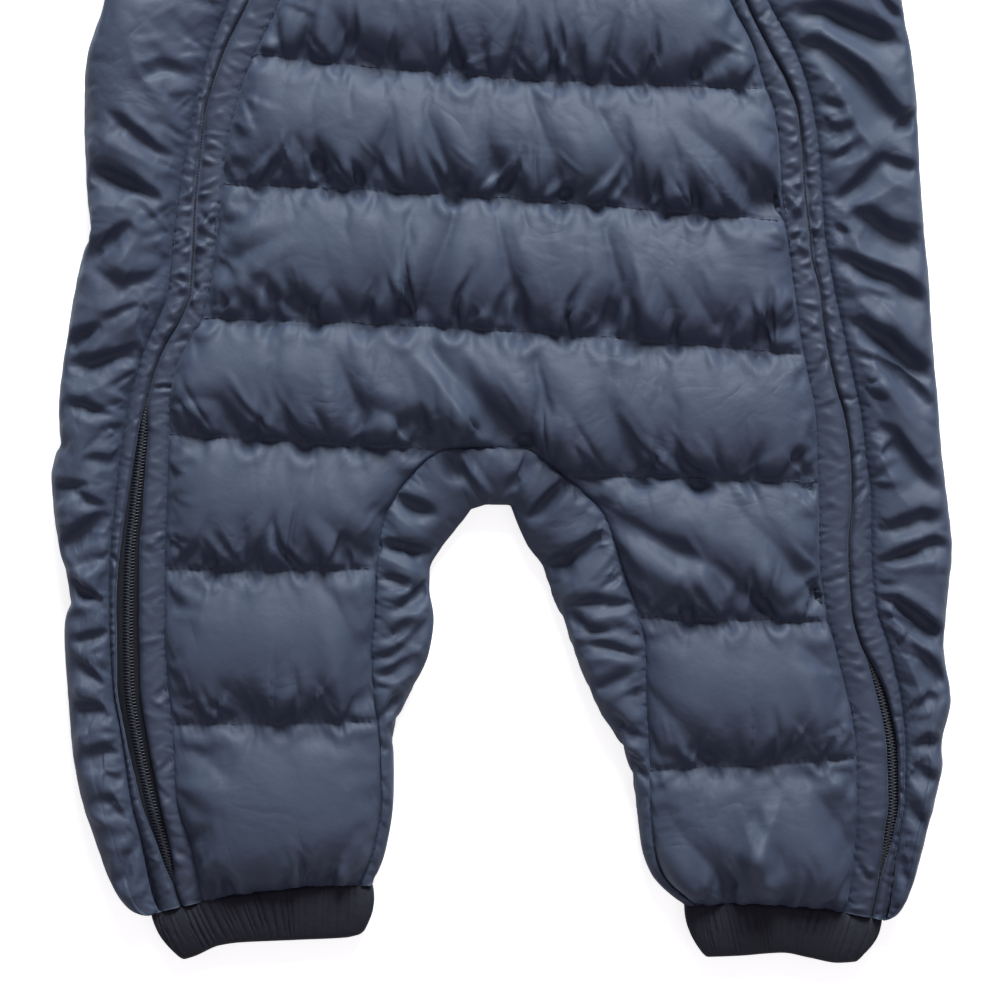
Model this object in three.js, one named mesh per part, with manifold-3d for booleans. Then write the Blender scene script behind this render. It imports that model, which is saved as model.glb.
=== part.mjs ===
import * as THREE from "three";
import Module from "manifold-3d";
import { mergeVertices } from "three/addons/utils/BufferGeometryUtils.js";

// A baby's quilted all-in-one for about nine to twelve months, zipped up and lying on its back on a surface.
// Millimetres. +X is the wearer's left, +Y runs from the ankles to the neck and +Z is up from the surface.
// It is drawn with y = 0 at the crotch fold, and the finished group is moved so that its box is centred.
// Every cloth piece is a wall: a grid of outer points and a grid of inner points, joined round the edges.

// Heights and thicknesses
const level = {
  middle: 12, // where the front of the suit lies on the back
  cuffMiddle: 6, // the same plane at the cuffs
  cuffSlope: 45, // the length over which it comes down to a cuff
  air: 0.8, // between the layers, below the middle
  seam: 3.5, // a stitched line above the middle
  crown: 14, // a filled channel above the middle
  sideCrown: 12,
  sideSeam: 9, // a side piece beside a stitched line
  gussetCrown: 9,
  gussetSeam: 6.3,
  sleeveCrown: 13,
  groove: 4, // a stitched line on the underside
  edgeGroove: 2, // the same near the outline
  cuff: 5, // one layer of a gathered cuff
  collar: 8.5, // one layer of the collar
};
const gap = 0.3; // air at every seam
const half = gap / 2;

// Zips
const zip = { tape: 1.5, coilWidth: 4.6, coilTop: 2.6, weltLow: 2.1, weltHigh: 3.6, weltThick: 2 };
const slider = { width: 7.6, length: 9, low: 2.9, high: 5.4, y: 410, bar: 7.6, barRadius: 0.7, post: 1.2 };
const pull = { width: 6, length: 23, thick: 1.4, eye: 1.7, hole: 1, eyeWidth: 2.8, neck: 4 };

// The arms, by the wearer's left one; the right one is its mirror image
const arm = {
  underarm: { x: 166, y: 272 },
  shoulder: { x: 141, y: 384 },
  slope: THREE.MathUtils.degToRad(30), // below the horizontal
  length: 205,
  wristHalf: 37,
  cuffLength: 22,
  cuffHalf: 31,
  channels: 4,
};
// The neck seam's ends, and its heights in front, beside the zips and at the back
const neck = { x: 70, y: 402, front: 372, side: 382, back: 394 };
const collar = { tall: 38, frontTop: 418, zipTop: 426, edge: 0.75 }; // edge: how thick it is at its seams

// A piece that goes over the outline and back underneath
const fold = {
  round: 10, // the largest rounding
  inset: 3.2, // from the outline to the air between the layers
  steep: 0.8, // the rise of a narrow piece from its seam
  shoulder: 9, // from the seam to the full height
  tuck: 8, // from the outline to the underside
  side: 20, // how far a side piece comes back underneath
  gusset: 14,
};
const tubeRim = 7; // the rounding of a flattened tube
const tubeSpread = 0.004; // keeps the inner points of a tube apart, as a share of its width

// The outline (side) and the zips' two stitch lines (out and in), from the neck down
const rightSide = [
  { y: 430, out: -57.5, in: -38.5 },
  { y: 385, out: -57.5, in: -38.5 },
  { y: 350, out: -63, in: -44 },
  { y: 310, out: -76, in: -57 },
  { y: 272, side: -166 },
  { y: 260, out: -94, in: -75 },
  { y: 240, side: -168 },
  { y: 212, side: -171.5, out: -112.5, in: -94 },
  { y: 183, side: -175, out: -125.5, in: -105.5 },
  { y: 149, side: -176, out: -131.5, in: -112.5 },
  { y: 107, side: -177.5, out: -136.5, in: -119 },
  { y: 86, side: -181.5, out: -142.5, in: -124 },
  { y: 65, side: -184, out: -152, in: -133 },
  { y: 44, side: -186.5, out: -158, in: -138.5 },
  { y: 12, side: -189.5, out: -163, in: -140.5 },
  { y: -19, side: -185, out: -166, in: -142.5 },
  { y: -40, side: -181.5, out: -166, in: -143 },
  { y: -61, side: -181.5, out: -166.5, in: -141 },
  { y: -82, side: -180, out: -165, in: -138.5 },
  { y: -103, side: -178, out: -160.5, in: -137 },
  { y: -124, side: -174.5, out: -155.5, in: -134.5 },
  { y: -145, side: -167.5, out: -150, in: -132 },
  { y: -163, side: -158, out: -143.5, in: -129.5 },
  { y: -172, side: -149, out: -139, in: -127 },
];
const leftSide = [
  { y: 430, out: 57.5, in: 38.5 },
  { y: 385, out: 57.5, in: 38.5 },
  { y: 350, out: 63, in: 44 },
  { y: 310, out: 76, in: 57 },
  { y: 272, side: 166 },
  { y: 260, out: 94, in: 75 },
  { y: 240, side: 168 },
  { y: 212, side: 170, out: 114, in: 94 },
  { y: 183, side: 173.5, out: 128, in: 107.5 },
  { y: 149, side: 175.5, out: 134, in: 117 },
  { y: 107, side: 179, out: 138, in: 122 },
  { y: 86, side: 179.5, out: 142, in: 125 },
  { y: 65, side: 181, out: 147, in: 128.5 },
  { y: 44, side: 183, out: 152, in: 133 },
  { y: 12, side: 186.5, out: 156, in: 135.5 },
  { y: -19, side: 188.5, out: 157, in: 136 },
  { y: -40, side: 187.5, out: 159.5, in: 139 },
  { y: -61, side: 186, out: 164.5, in: 144.5 },
  { y: -82, side: 188.5, out: 169, in: 147.5 },
  { y: -103, side: 185, out: 170.5, in: 150 },
  { y: -124, side: 182, out: 170.5, in: 151 },
  { y: -145, side: 177, out: 168, in: 150.5 },
  { y: -163, side: 170, out: 161.5, in: 148.5 },
  { y: -174, side: 163, out: 156, in: 147 },
];

// The open width between a zip's two welts
const rightGap = [
  { y: 430, gap: 11 },
  { y: 398, gap: 10 },
  { y: 375, gap: 1 },
  { y: 90, gap: 0.8 },
  { y: 40, gap: 3 },
  { y: 0, gap: 6 },
  { y: -60, gap: 9.5 },
  { y: -110, gap: 8 },
  { y: -145, gap: 4 },
  { y: -172, gap: 1 },
];
const leftGap = [
  { y: 430, gap: 11 },
  { y: 398, gap: 10 },
  { y: 375, gap: 1 },
  { y: -50, gap: 0.8 },
  { y: -80, gap: 3.2 },
  { y: -130, gap: 3.6 },
  { y: -174, gap: 1 },
];

// The seam between the front and the inner-leg gusset, and the inner-leg outline that each seam height faces
const rightInseam = [
  { y: 23.5, seam: -25, edgeX: -13, edgeY: -1.5 },
  { y: 15, seam: -35.5, edgeX: -16, edgeY: -6 },
  { y: 4, seam: -44, edgeX: -21, edgeY: -13 },
  { y: -6, seam: -49, edgeX: -25, edgeY: -19 },
  { y: -17, seam: -51, edgeX: -29, edgeY: -28 },
  { y: -27, seam: -52.5, edgeX: -29, edgeY: -35 },
  { y: -45, seam: -53, edgeX: -28, edgeY: -48 },
  { y: -61, seam: -54.5, edgeX: -30, edgeY: -62 },
  { y: -82, seam: -53, edgeX: -38.5, edgeY: -82 },
  { y: -103, seam: -50.5, edgeX: -45.5, edgeY: -103 },
  { y: -124, seam: -50.5, edgeX: -46, edgeY: -124 },
  { y: -145, seam: -53.5, edgeX: -49, edgeY: -145 },
  { y: -159, seam: -59, edgeX: -54.5, edgeY: -159 },
];
const leftInseam = [
  { y: 13, seam: 26, edgeX: 9, edgeY: -13 },
  { y: 7, seam: 33.5, edgeX: 12, edgeY: -19 },
  { y: -4, seam: 44, edgeX: 17, edgeY: -27 },
  { y: -17, seam: 49, edgeX: 21, edgeY: -37 },
  { y: -29, seam: 52.5, edgeX: 25, edgeY: -46 },
  { y: -47.5, seam: 59, edgeX: 30.5, edgeY: -60 },
  { y: -61, seam: 61.5, edgeX: 34.5, edgeY: -70 },
  { y: -82, seam: 62, edgeX: 41.5, edgeY: -86 },
  { y: -103, seam: 63, edgeX: 51, edgeY: -103 },
  { y: -124, seam: 63.5, edgeX: 59, edgeY: -124 },
  { y: -145, seam: 65.5, edgeX: 61, edgeY: -145 },
  { y: -156, seam: 69.5, edgeX: 65, edgeY: -156 },
  { y: -168, seam: 83, edgeX: 78.5, edgeY: -168 },
];
// The seam across the top of the gusset, between the two legs
const crotchSeam = [
  { x: -25, y: 23.5, edgeX: -13, edgeY: -1.5 },
  { x: -6, y: 24.5, edgeX: -7, edgeY: 0 },
  { x: 12.5, y: 24, edgeX: 3.5, edgeY: -1 },
  { x: 26, y: 13, edgeX: 9, edgeY: -13 },
];

// The quilting lines of the body, at the right zip, the middle and the left zip
const bodyLines = [
  { right: 380, middle: neck.front, left: 380 },
  { right: 348, middle: 343, left: 341 },
  { right: 296, middle: 290, left: 286 },
  { right: 243.5, middle: 236, left: 231 },
  { right: 191, middle: 181, left: 176.5 },
  { right: 136, middle: 130, left: 120 },
  { right: 79, middle: 74, left: 64 },
];
const crotchLine = { right: 30, left: 10 };
// Those of the legs, at the zip and at the gusset; the last is the seam with the cuff
const rightLegLines = [
  { zip: -27, seam: -27 },
  { zip: -92.5, seam: -91.5 },
];
const leftLegLines = [
  { zip: -49, seam: -47.5 },
  { zip: -107, seam: -112 },
];

// The seam between each leg and its cuff, and the cuff's lower edge; bow is the rise in the middle
const rightHem = { from: { x: -149, y: -174.5 }, to: { x: -54.5, y: -162 }, bow: 3.4 };
const leftHem = { from: { x: 78.5, y: -170.5 }, to: { x: 163, y: -176.8 }, bow: 3 };
const rightCuffEdge = { from: { x: -136, y: -194 }, to: { x: -57.5, y: -183.5 }, bow: 3.3 };
const leftCuffEdge = { from: { x: 87, y: -192.5 }, to: { x: 153, y: -195 }, bow: 2 };
const ankle = -170; // a height just above both cuffs

const filled = [0, 0.25, 0.75]; // where rows lie in a channel, as shares of the way to its lower line
const armColumns = [0, 0.3, 1, 1, 1, 1, 1, 1]; // a side piece's columns above the underarm
const fork = { right: 4, left: 7, last: 11 }; // columns of the front and back where the legs part
const lerp = THREE.MathUtils.lerp;

// The value of one column of a table at any y, on a smooth line through its rows.
function column(rows, key) {
  const known = rows.filter((row) => key in row);
  const secant = (k) => (known[k + 1][key] - known[k][key]) / (known[k + 1].y - known[k].y);
  const slopeAt = (k) => {
    if (k === 0 || k === known.length - 1) return secant(Math.max(k - 1, 0));
    const [a, b] = [secant(k - 1), secant(k)];
    return a * b > 0 ? (2 * a * b) / (a + b) : 0;
  };
  return (y) => {
    if (y >= known[0].y) return known[0][key];
    const k = known.findIndex((row) => row.y <= y) - 1;
    if (k < 0) return known.at(-1)[key];
    const span = known[k + 1].y - known[k].y;
    const t = (y - known[k].y) / span;
    const start = known[k][key] * (1 + 2 * t) * (1 - t) ** 2 + slopeAt(k) * span * t * (1 - t) ** 2;
    return start + known[k + 1][key] * t * t * (3 - 2 * t) + slopeAt(k + 1) * span * t * t * (t - 1);
  };
}

// The height of a bowed line at any x.
function heightOn({ from, to, bow }) {
  return (x) => {
    const share = THREE.MathUtils.clamp((x - from.x) / (to.x - from.x), 0, 1);
    return lerp(from.y, to.y, share) + 4 * bow * share * (1 - share);
  };
}

const limb = {
  right: {
    sign: -1,
    side: column(rightSide, "side"),
    out: column(rightSide, "out"),
    in: column(rightSide, "in"),
    gap: column(rightGap, "gap"),
    seam: column(rightInseam, "seam"),
    edgeX: column(rightInseam, "edgeX"),
    edgeY: column(rightInseam, "edgeY"),
    hem: heightOn(rightHem),
    crotch: { zip: crotchLine.right, seam: crotchSeam[0].y },
    lines: rightLegLines,
  },
  left: {
    sign: 1,
    side: column(leftSide, "side"),
    out: column(leftSide, "out"),
    in: column(leftSide, "in"),
    gap: column(leftGap, "gap"),
    seam: column(leftInseam, "seam"),
    edgeX: column(leftInseam, "edgeX"),
    edgeY: column(leftInseam, "edgeY"),
    hem: heightOn(leftHem),
    crotch: { zip: crotchLine.left, seam: crotchSeam[3].y },
    lines: leftLegLines,
  },
};

// How far the middle plane is up at a point, from the seam with a cuff upwards.
function middleAt(distance) {
  return lerp(level.cuffMiddle, level.middle, THREE.MathUtils.clamp(distance / level.cuffSlope, 0, 1));
}
const legMiddle = (side, x, y) => middleAt(y - side.hem(x));

// The armhole's x at any height.
function armholeAt(y) {
  const share = (y - arm.underarm.y) / (arm.shoulder.y - arm.underarm.y);
  return lerp(arm.underarm.x, arm.shoulder.x, share);
}

// The top edge of the body: the neck seam, then the shoulder seam.
function topEdge(x, neckMiddle) {
  const across = Math.abs(x);
  if (across > neck.x) return lerp(neck.y, arm.shoulder.y, (across - neck.x) / (arm.shoulder.x - neck.x));
  return neckMiddle + (neck.y - neckMiddle) * (across / neck.x) ** 2.4;
}

// A wall between two grids of points. keep picks the cells that are cloth, and a ring closes on itself.
function wall(outer, inner, keep = () => true, ring = false) {
  const across = outer[0].length;
  const rows = outer.length;
  const cells = ring ? across : across - 1;
  const positions = [...outer.flat(), ...inner.flat()].flatMap((p) => [p.x, p.y, p.z]);
  const at = (side, i, j) => side * rows * across + j * across + (i % across);
  const kept = (i, j) => {
    const column = ring ? (i + cells) % cells : i;
    return column >= 0 && column < cells && j >= 0 && j < rows - 1 && keep(column, j);
  };
  const index = [];
  const quad = (a, b, c, d) => index.push(a, b, c, a, c, d);
  for (let j = 0; j < rows - 1; j++) {
    for (let i = 0; i < cells; i++) {
      if (!kept(i, j)) continue;
      quad(at(0, i, j), at(0, i, j + 1), at(0, i + 1, j + 1), at(0, i + 1, j));
      quad(at(1, i, j), at(1, i + 1, j), at(1, i + 1, j + 1), at(1, i, j + 1));
      if (!kept(i, j - 1)) quad(at(0, i, j), at(0, i + 1, j), at(1, i + 1, j), at(1, i, j));
      if (!kept(i, j + 1)) quad(at(0, i + 1, j + 1), at(0, i, j + 1), at(1, i, j + 1), at(1, i + 1, j + 1));
      if (!kept(i - 1, j)) quad(at(0, i, j + 1), at(0, i, j), at(1, i, j), at(1, i, j + 1));
      if (!kept(i + 1, j)) quad(at(0, i + 1, j), at(0, i + 1, j + 1), at(1, i + 1, j + 1), at(1, i + 1, j));
    }
  }
  const made = new THREE.BufferGeometry();
  made.setAttribute("position", new THREE.Float32BufferAttribute(positions, 3));
  made.setIndex(index);
  return made;
}

// Turns a wall's triangles round, for a grid whose columns run the other way.
function reversed(made) {
  const index = made.index.array;
  for (let k = 0; k < index.length; k += 3) [index[k], index[k + 1]] = [index[k + 1], index[k]];
  return made;
}

const point = (x, y, z) => new THREE.Vector3(x, y, z);

// Rows shared by the body's and legs' pieces: their heights at the two zips, and whether they are filled.
const bodyRows = [];
bodyLines.forEach((line, k) => {
  const next = bodyLines[k + 1] ?? { right: crotchLine.right, left: crotchLine.left, crotch: true };
  for (const t of filled) bodyRows.push({ line, next, t, full: t > 0, channel: k });
});
const forkRow = bodyRows.length;
const legRows = [0, 1, 2].flatMap((channel) => filled.map((t) => ({ channel, t, full: t > 0 }))).slice(1);
legRows.push({ channel: 2, t: 1, full: false });
const rowCount = forkRow + 1 + legRows.length;

const quadratic = (a, b, c, f) => a * (1 - f) * (1 - 2 * f) + 4 * b * f * (1 - f) + c * f * (2 * f - 1);

// The share of the way across, at which each column of the front and back stands.
function crotchShare(x) {
  const [from, to] = [limb.right.in(crotchLine.right), limb.left.in(crotchLine.left)];
  return (x - from) / (to - from);
}
const shares = Array.from({ length: fork.last + 1 }, (_, i) => {
  const [from, to] = [crotchShare(crotchSeam[0].x), crotchShare(crotchSeam[3].x)];
  if (i <= fork.right) return (from * i) / fork.right;
  if (i <= fork.left) return lerp(from, to, (i - fork.right) / (fork.left - fork.right));
  return lerp(to, 1, (i - fork.left) / (fork.last - fork.left));
});

// The height of a leg's quilting line k, at a share f of the way from the zip to the gusset.
function legLine(side, k, f) {
  const line = k < 0 ? side.crotch : side.lines[k];
  return line && lerp(line.zip, line.seam, f);
}

// A row's height at a leg, with the last line following the seam with the cuff.
function legHeight(side, row, f, x) {
  const upper = legLine(side, row.channel - 1, f);
  const lower = legLine(side, row.channel, f) ?? side.hem(x) + gap;
  return lerp(upper, lower, row.t);
}

// Where row j crosses a zip, which is where every piece beside that zip has a row too.
function zipHeight(side, j) {
  if (j < forkRow) {
    const row = bodyRows[j];
    const key = side.sign < 0 ? "right" : "left";
    return lerp(row.line[key], row.next[key], row.t);
  }
  if (j === forkRow) return side.sign < 0 ? crotchLine.right : crotchLine.left;
  return legHeight(side, legRows[j - forkRow - 1], 0, side.in(side.hem(side.in(ankle))));
}
const isFull = (j) => (j < forkRow ? bodyRows[j].full : j > forkRow && legRows[j - forkRow - 1].full);

// Front and back share one layout: the points of row j, column by column, as flat x and y.
function frontRow(j) {
  const [right, left] = [limb.right, limb.left];
  if (j < forkRow) {
    const { line, next, t } = bodyRows[j];
    return shares.map((f, i) => {
      const upper = quadratic(line.right, line.middle, line.left, f);
      const lower = next.crotch ? crotchPoints()[i].y : quadratic(next.right, next.middle, next.left, f);
      const y = lerp(upper, lower, t);
      return { x: lerp(right.in(y) + gap, left.in(y) - gap, f), y };
    });
  }
  if (j === forkRow) return crotchPoints();
  const row = legRows[j - forkRow - 1];
  return shares.map((_, i) => {
    const side = i <= fork.right ? right : left;
    const f = i <= fork.right ? i / fork.right : (fork.last - i) / (fork.last - fork.left);
    if (i > fork.right && i < fork.left) return { x: 0, y: 0 };
    const guess = legHeight(side, row, f, lerp(side.in(ankle), side.seam(ankle), f));
    const x = lerp(side.in(guess) - side.sign * gap, side.seam(guess), f);
    const y = legHeight(side, row, f, x);
    return { x: lerp(side.in(y) - side.sign * gap, side.seam(y), f), y };
  });
}

// The row where the legs part: two quilting lines and the seam over the gusset between them.
function crotchPoints() {
  return shares.map((_, i) => {
    if (i >= fork.right && i <= fork.left) return crotchSeam[i - fork.right];
    const side = i < fork.right ? limb.right : limb.left;
    const corner = i < fork.right ? crotchSeam[0] : crotchSeam[3];
    const f = i < fork.right ? i / fork.right : (fork.last - i) / (fork.last - fork.left);
    const y = legLine(side, -1, f);
    return { x: lerp(side.in(y) - side.sign * gap, corner.x, f), y };
  });
}

const betweenLegs = (i, j) => j < forkRow || i < fork.right || i >= fork.left;
const limbOf = (x) => (x < 0 ? limb.right : limb.left);

function frontPanel() {
  const rows = Array.from({ length: rowCount }, (_, j) => frontRow(j));
  const parted = (i, j) => j >= forkRow && (i === fork.right || i === fork.left);
  const edge = (i, j) => i === 0 || i === fork.last || parted(i, j);
  const outer = rows.map((row, j) =>
    row.map((p, i) => {
      const middle = legMiddle(limbOf(p.x), p.x, p.y);
      return point(p.x, p.y, middle + (isFull(j) && !edge(i, j) ? level.crown : level.seam));
    }),
  );
  const inner = rows.map((row) => row.map((p) => point(p.x, p.y, legMiddle(limbOf(p.x), p.x, p.y) + half)));
  return wall(outer, inner, betweenLegs);
}

// A folded edge: the section of a piece that goes over the outline and back underneath.
// width runs from the upper seam to the outline, and under is how far the piece comes back below.
function foldSection(width, middle, crown, under, groove) {
  const { inset } = fold;
  const round = Math.min(fold.round, 0.5 * width);
  const lift = Math.min(crown, level.seam + width * fold.steep);
  return {
    outer: [
      [0, middle + level.seam],
      [Math.min(0.4 * width, fold.shoulder), middle + lift],
      [width - round, middle + lift],
      [width - 0.25 * round, middle + 0.6 * lift],
      [width, middle * 0.85],
      [width - 2, 0.25 * middle],
      [width - Math.min(fold.tuck, 0.5 * under), groove],
      [width - under, groove],
    ],
    inner: [
      [0, middle + half],
      [Math.min(0.3 * width, width - inset - 0.6), middle + half],
      [width - inset - 0.4, middle + half],
      [width - inset, middle + 0.5 * half],
      [width - inset + 0.1, middle],
      [width - inset, middle - 0.5 * half],
      [width - inset - 0.4, middle - level.air],
      [width - under, middle - level.air],
    ],
  };
}
const foldColumns = 2; // the cells of a side piece that lie on the front

// The outer end of a side piece's row: the outline, or the armhole above the underarm.
function sideRow(side, j) {
  const zipY = zipHeight(side, j);
  const outX = side.out(zipY) + side.sign * gap;
  if (j > 0) return { start: point(outX, zipY, 0), y: zipY };
  return { start: point(outX, topEdge(outX, neck.side), 0), y: arm.shoulder.y };
}

function sidePanel(side) {
  const rows = Array.from({ length: rowCount }, (_, j) => {
    const { start, y } = sideRow(side, j);
    if (y > arm.underarm.y) return armRow(side, j, start, y);
    const end = side.side(y);
    const lower = j === rowCount - 1;
    const section = foldSection(
      Math.abs(end - start.x),
      lower ? level.cuffMiddle : legMiddle(side, start.x, y),
      isFull(j) ? level.sideCrown : level.sideSeam,
      fold.side,
      isFull(j) ? 0 : level.edgeGroove,
    );
    const place = ([away, z]) => {
      const x = start.x + side.sign * away;
      return point(x, lower ? side.hem(x) + gap : y, z);
    };
    return { outer: section.outer.map(place), inner: section.inner.map(place) };
  });
  const keep = (i, j) => i < foldColumns || sideRow(side, j).y <= arm.underarm.y;
  const made = wall(
    rows.map((row) => row.outer),
    rows.map((row) => row.inner),
    keep,
  );
  return side.sign > 0 ? made : reversed(made);
}

// A side piece's row between its zip and the armhole. With no fold there, its last columns meet.
function armRow(side, j, start, y) {
  const end = side.sign * armholeAt(y);
  const across = armColumns.map((f) => {
    const x = lerp(start.x, end, f);
    return point(x, j === 0 ? topEdge(x, neck.side) : lerp(start.y, y, f), level.middle);
  });
  const raised = (k) => (j > 0 && isFull(j) && k === 1 ? level.sideCrown : level.seam);
  return {
    outer: across.map((p, k) => point(p.x, p.y, p.z + raised(k))),
    inner: across.map((p) => point(p.x, p.y, p.z + half)),
  };
}

// The gusset's stations, from the right cuff up, over the crotch and down to the left cuff.
function gussetStations() {
  const rows = Array.from({ length: rowCount }, (_, j) => frontRow(j));
  const leg = (side, j) => {
    const seam = rows[j][side.sign < 0 ? fork.right : fork.left];
    const last = j === rowCount - 1;
    const x = side.edgeX(seam.y);
    return { seam, edge: { x, y: last ? side.hem(x) + gap : side.edgeY(seam.y) }, full: isFull(j), side, j };
  };
  const crotch = ({ x, y, edgeX, edgeY }) => ({
    seam: { x, y },
    edge: { x: edgeX, y: edgeY },
    full: true,
    side: limb.right,
    j: forkRow,
  });
  const legs = Array.from({ length: rowCount - forkRow - 1 }, (_, k) => forkRow + 1 + k);
  return [
    ...legs.toReversed().map((j) => leg(limb.right, j)),
    ...crotchSeam.map(crotch),
    ...legs.map((j) => leg(limb.left, j)),
  ];
}

// One station's section, from the seam on the front, round the inner leg and back underneath.
function gussetSection({ seam, edge, full, side, j }) {
  const from = new THREE.Vector2(seam.x, seam.y);
  const away = new THREE.Vector2(edge.x - seam.x, edge.y - seam.y);
  const width = away.length() - gap;
  away.normalize();
  from.addScaledVector(away, gap);
  const middle = j === rowCount - 1 ? level.cuffMiddle : legMiddle(side, seam.x, seam.y);
  const crown = full ? level.gussetCrown : level.gussetSeam;
  const section = foldSection(width, middle, crown, fold.gusset, full ? 0 : level.edgeGroove);
  const place = ([distance, z]) => point(from.x + away.x * distance, from.y + away.y * distance, z);
  return { outer: section.outer.map(place), inner: section.inner.map(place) };
}

function gusset() {
  const sections = gussetStations().map(gussetSection);
  const made = wall(
    sections.map((section) => section.outer),
    sections.map((section) => section.inner),
  );
  return reversed(made);
}

// The back is cut like the front, and reaches the seams where the sides and the gusset come round.
function backPanel() {
  const sections = gussetStations().map((station) => gussetSection(station).outer.at(-1));
  const legCount = rowCount - forkRow - 1;
  const seamAt = (side, j) => {
    const k = side.sign < 0 ? legCount - (j - forkRow) : legCount + 3 + (j - forkRow);
    const p = sections[k];
    return { x: p.x + (side.sign < 0 ? -gap : gap), y: p.y };
  };
  const sideSeam = (side, j) => {
    const { y } = sideRow(side, j);
    if (y > arm.underarm.y) return { x: side.sign * armholeAt(y), y };
    const x = side.side(y) - side.sign * (fold.side + gap);
    return { x, y: j === rowCount - 1 ? side.hem(x) + gap : y };
  };
  const rows = Array.from({ length: rowCount }, (_, j) => {
    const [right, left] = [sideSeam(limb.right, j), sideSeam(limb.left, j)];
    return shares.map((share, i) => {
      if (j < forkRow) {
        const x = lerp(right.x, left.x, share);
        return { x, y: j === 0 ? topEdge(x, neck.back) : lerp(right.y, left.y, share) };
      }
      if (j === forkRow && i >= fork.right && i <= fork.left) {
        const p = sections[legCount + i - fork.right];
        return { x: p.x, y: p.y + gap };
      }
      const inner = i <= fork.right ? seamAt(limb.right, j) : seamAt(limb.left, j);
      const corner = sections[legCount + (i <= fork.right ? 0 : 3)];
      const seam = j === forkRow ? { x: corner.x, y: corner.y + gap } : inner;
      if (i > fork.right && i < fork.left) return { x: 0, y: 0 };
      const [side, end] = i <= fork.right ? [limb.right, right] : [limb.left, left];
      const f = i <= fork.right ? i / fork.right : (fork.last - i) / (fork.last - fork.left);
      const x = lerp(end.x, seam.x, f);
      return { x, y: j === rowCount - 1 ? side.hem(x) + gap : lerp(end.y, seam.y, f) };
    });
  });
  const middle = (p, j) => (j === rowCount - 1 ? level.cuffMiddle : legMiddle(limbOf(p.x), p.x, p.y));
  const under = rows.map((row, j) => row.map((p) => point(p.x, p.y, isFull(j) ? 0 : level.groove)));
  const upper = rows.map((row, j) => row.map((p) => point(p.x, p.y, middle(p, j) - level.air)));
  return wall(upper, under, betweenLegs);
}

// The rows of a zip and its welts: the body's rows, and two more along the collar.
function zipRows(side) {
  const above = [collar.zipTop, neck.y].map((y) => ({ y }));
  const isLast = (j) => j === rowCount - 1;
  const body = Array.from({ length: rowCount }, (_, j) => ({ y: zipHeight(side, j), last: isLast(j) }));
  return [...above, ...body].map(({ y, last }) => {
    const centre = (side.out(y) + side.in(y)) / 2;
    return { y, centre, out: side.out(y), in: side.in(y), opening: side.gap(y) / 2, last };
  });
}

// A welt is the flat band between a stitch line and the zip, with its free edge standing a little higher.
function welt(side, stitched) {
  const rows = zipRows(side);
  const away = Math.sign(rows[0][stitched] - rows[0].centre);
  const edges = (row, thick) => {
    const at = (x, height) => {
      const y = row.last ? side.hem(x) + gap : row.y;
      return point(x, y, legMiddle(side, row.centre, y) + height + thick);
    };
    const free = row.centre + away * row.opening;
    return away < 0
      ? [at(row[stitched], zip.weltLow), at(free, zip.weltHigh)]
      : [at(free, zip.weltHigh), at(row[stitched], zip.weltLow)];
  };
  return wall(
    rows.map((row) => edges(row, zip.weltThick)),
    rows.map((row) => edges(row, 0)),
  );
}

// The closed zip: a flat tape with the coil standing along its middle.
function zipTape(side) {
  const rows = zipRows(side);
  const profile = (row) => {
    const [low, high] = [Math.min(row.out, row.in) + gap, Math.max(row.out, row.in) - gap];
    const reach = Math.min(zip.coilWidth, high - low) / 2;
    return [
      [low, zip.tape],
      [row.centre - reach, zip.coilTop],
      [row.centre + reach, zip.coilTop],
      [high, zip.tape],
    ];
  };
  const place = (row, x, z) => {
    const y = row.last ? side.hem(x) + gap : row.y;
    return point(x, y, legMiddle(side, row.centre, y) + z);
  };
  return wall(
    rows.map((row) => profile(row).map(([x, z]) => place(row, x, z))),
    rows.map((row) => profile(row).map(([x]) => place(row, x, half))),
  );
}

// A flattened tube's section, as shares of the way across and heights, going over the top and back below.
function tubeSection(width, middle, crown, base, inset) {
  const rim = tubeRim / width;
  const across = [0, rim, 0.25, 0.5, 0.75, 1 - rim, 1, 1 - rim, 0.75, 0.5, 0.25, rim];
  const top = middle + crown;
  const outer = [middle, lerp(middle, top, 0.7), top, top, top, lerp(middle, top, 0.7)];
  outer.push(middle, lerp(middle, base, 0.75), base, base, base, lerp(middle, base, 0.75));
  const narrow = (f) => THREE.MathUtils.clamp(f, inset / width, 1 - inset / width);
  const slit = (k) => middle + (k % 6 === 0 ? 0 : k < 6 ? half : -half);
  return {
    outer: across.map((f, k) => [f, outer[k]]),
    inner: across.map((f, k) => [narrow(f) + (k % 6 === 0 ? 0 : (0.5 - f) * tubeSpread), slit(k)]),
  };
}

// A tube between two edge lines, given for each row as its two ends, its section and a bend along its length.
function tube(rows) {
  const place = (row, [f, z]) => {
    const x = lerp(row.from.x, row.to.x, f);
    return point(x, lerp(row.from.y, row.to.y, f) + (row.bend ? row.bend(f) : 0), z);
  };
  return wall(
    rows.map((row) => row.section.outer.map((pair) => place(row, pair))),
    rows.map((row) => row.section.inner.map((pair) => place(row, pair))),
    () => true,
    true,
  );
}

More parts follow.
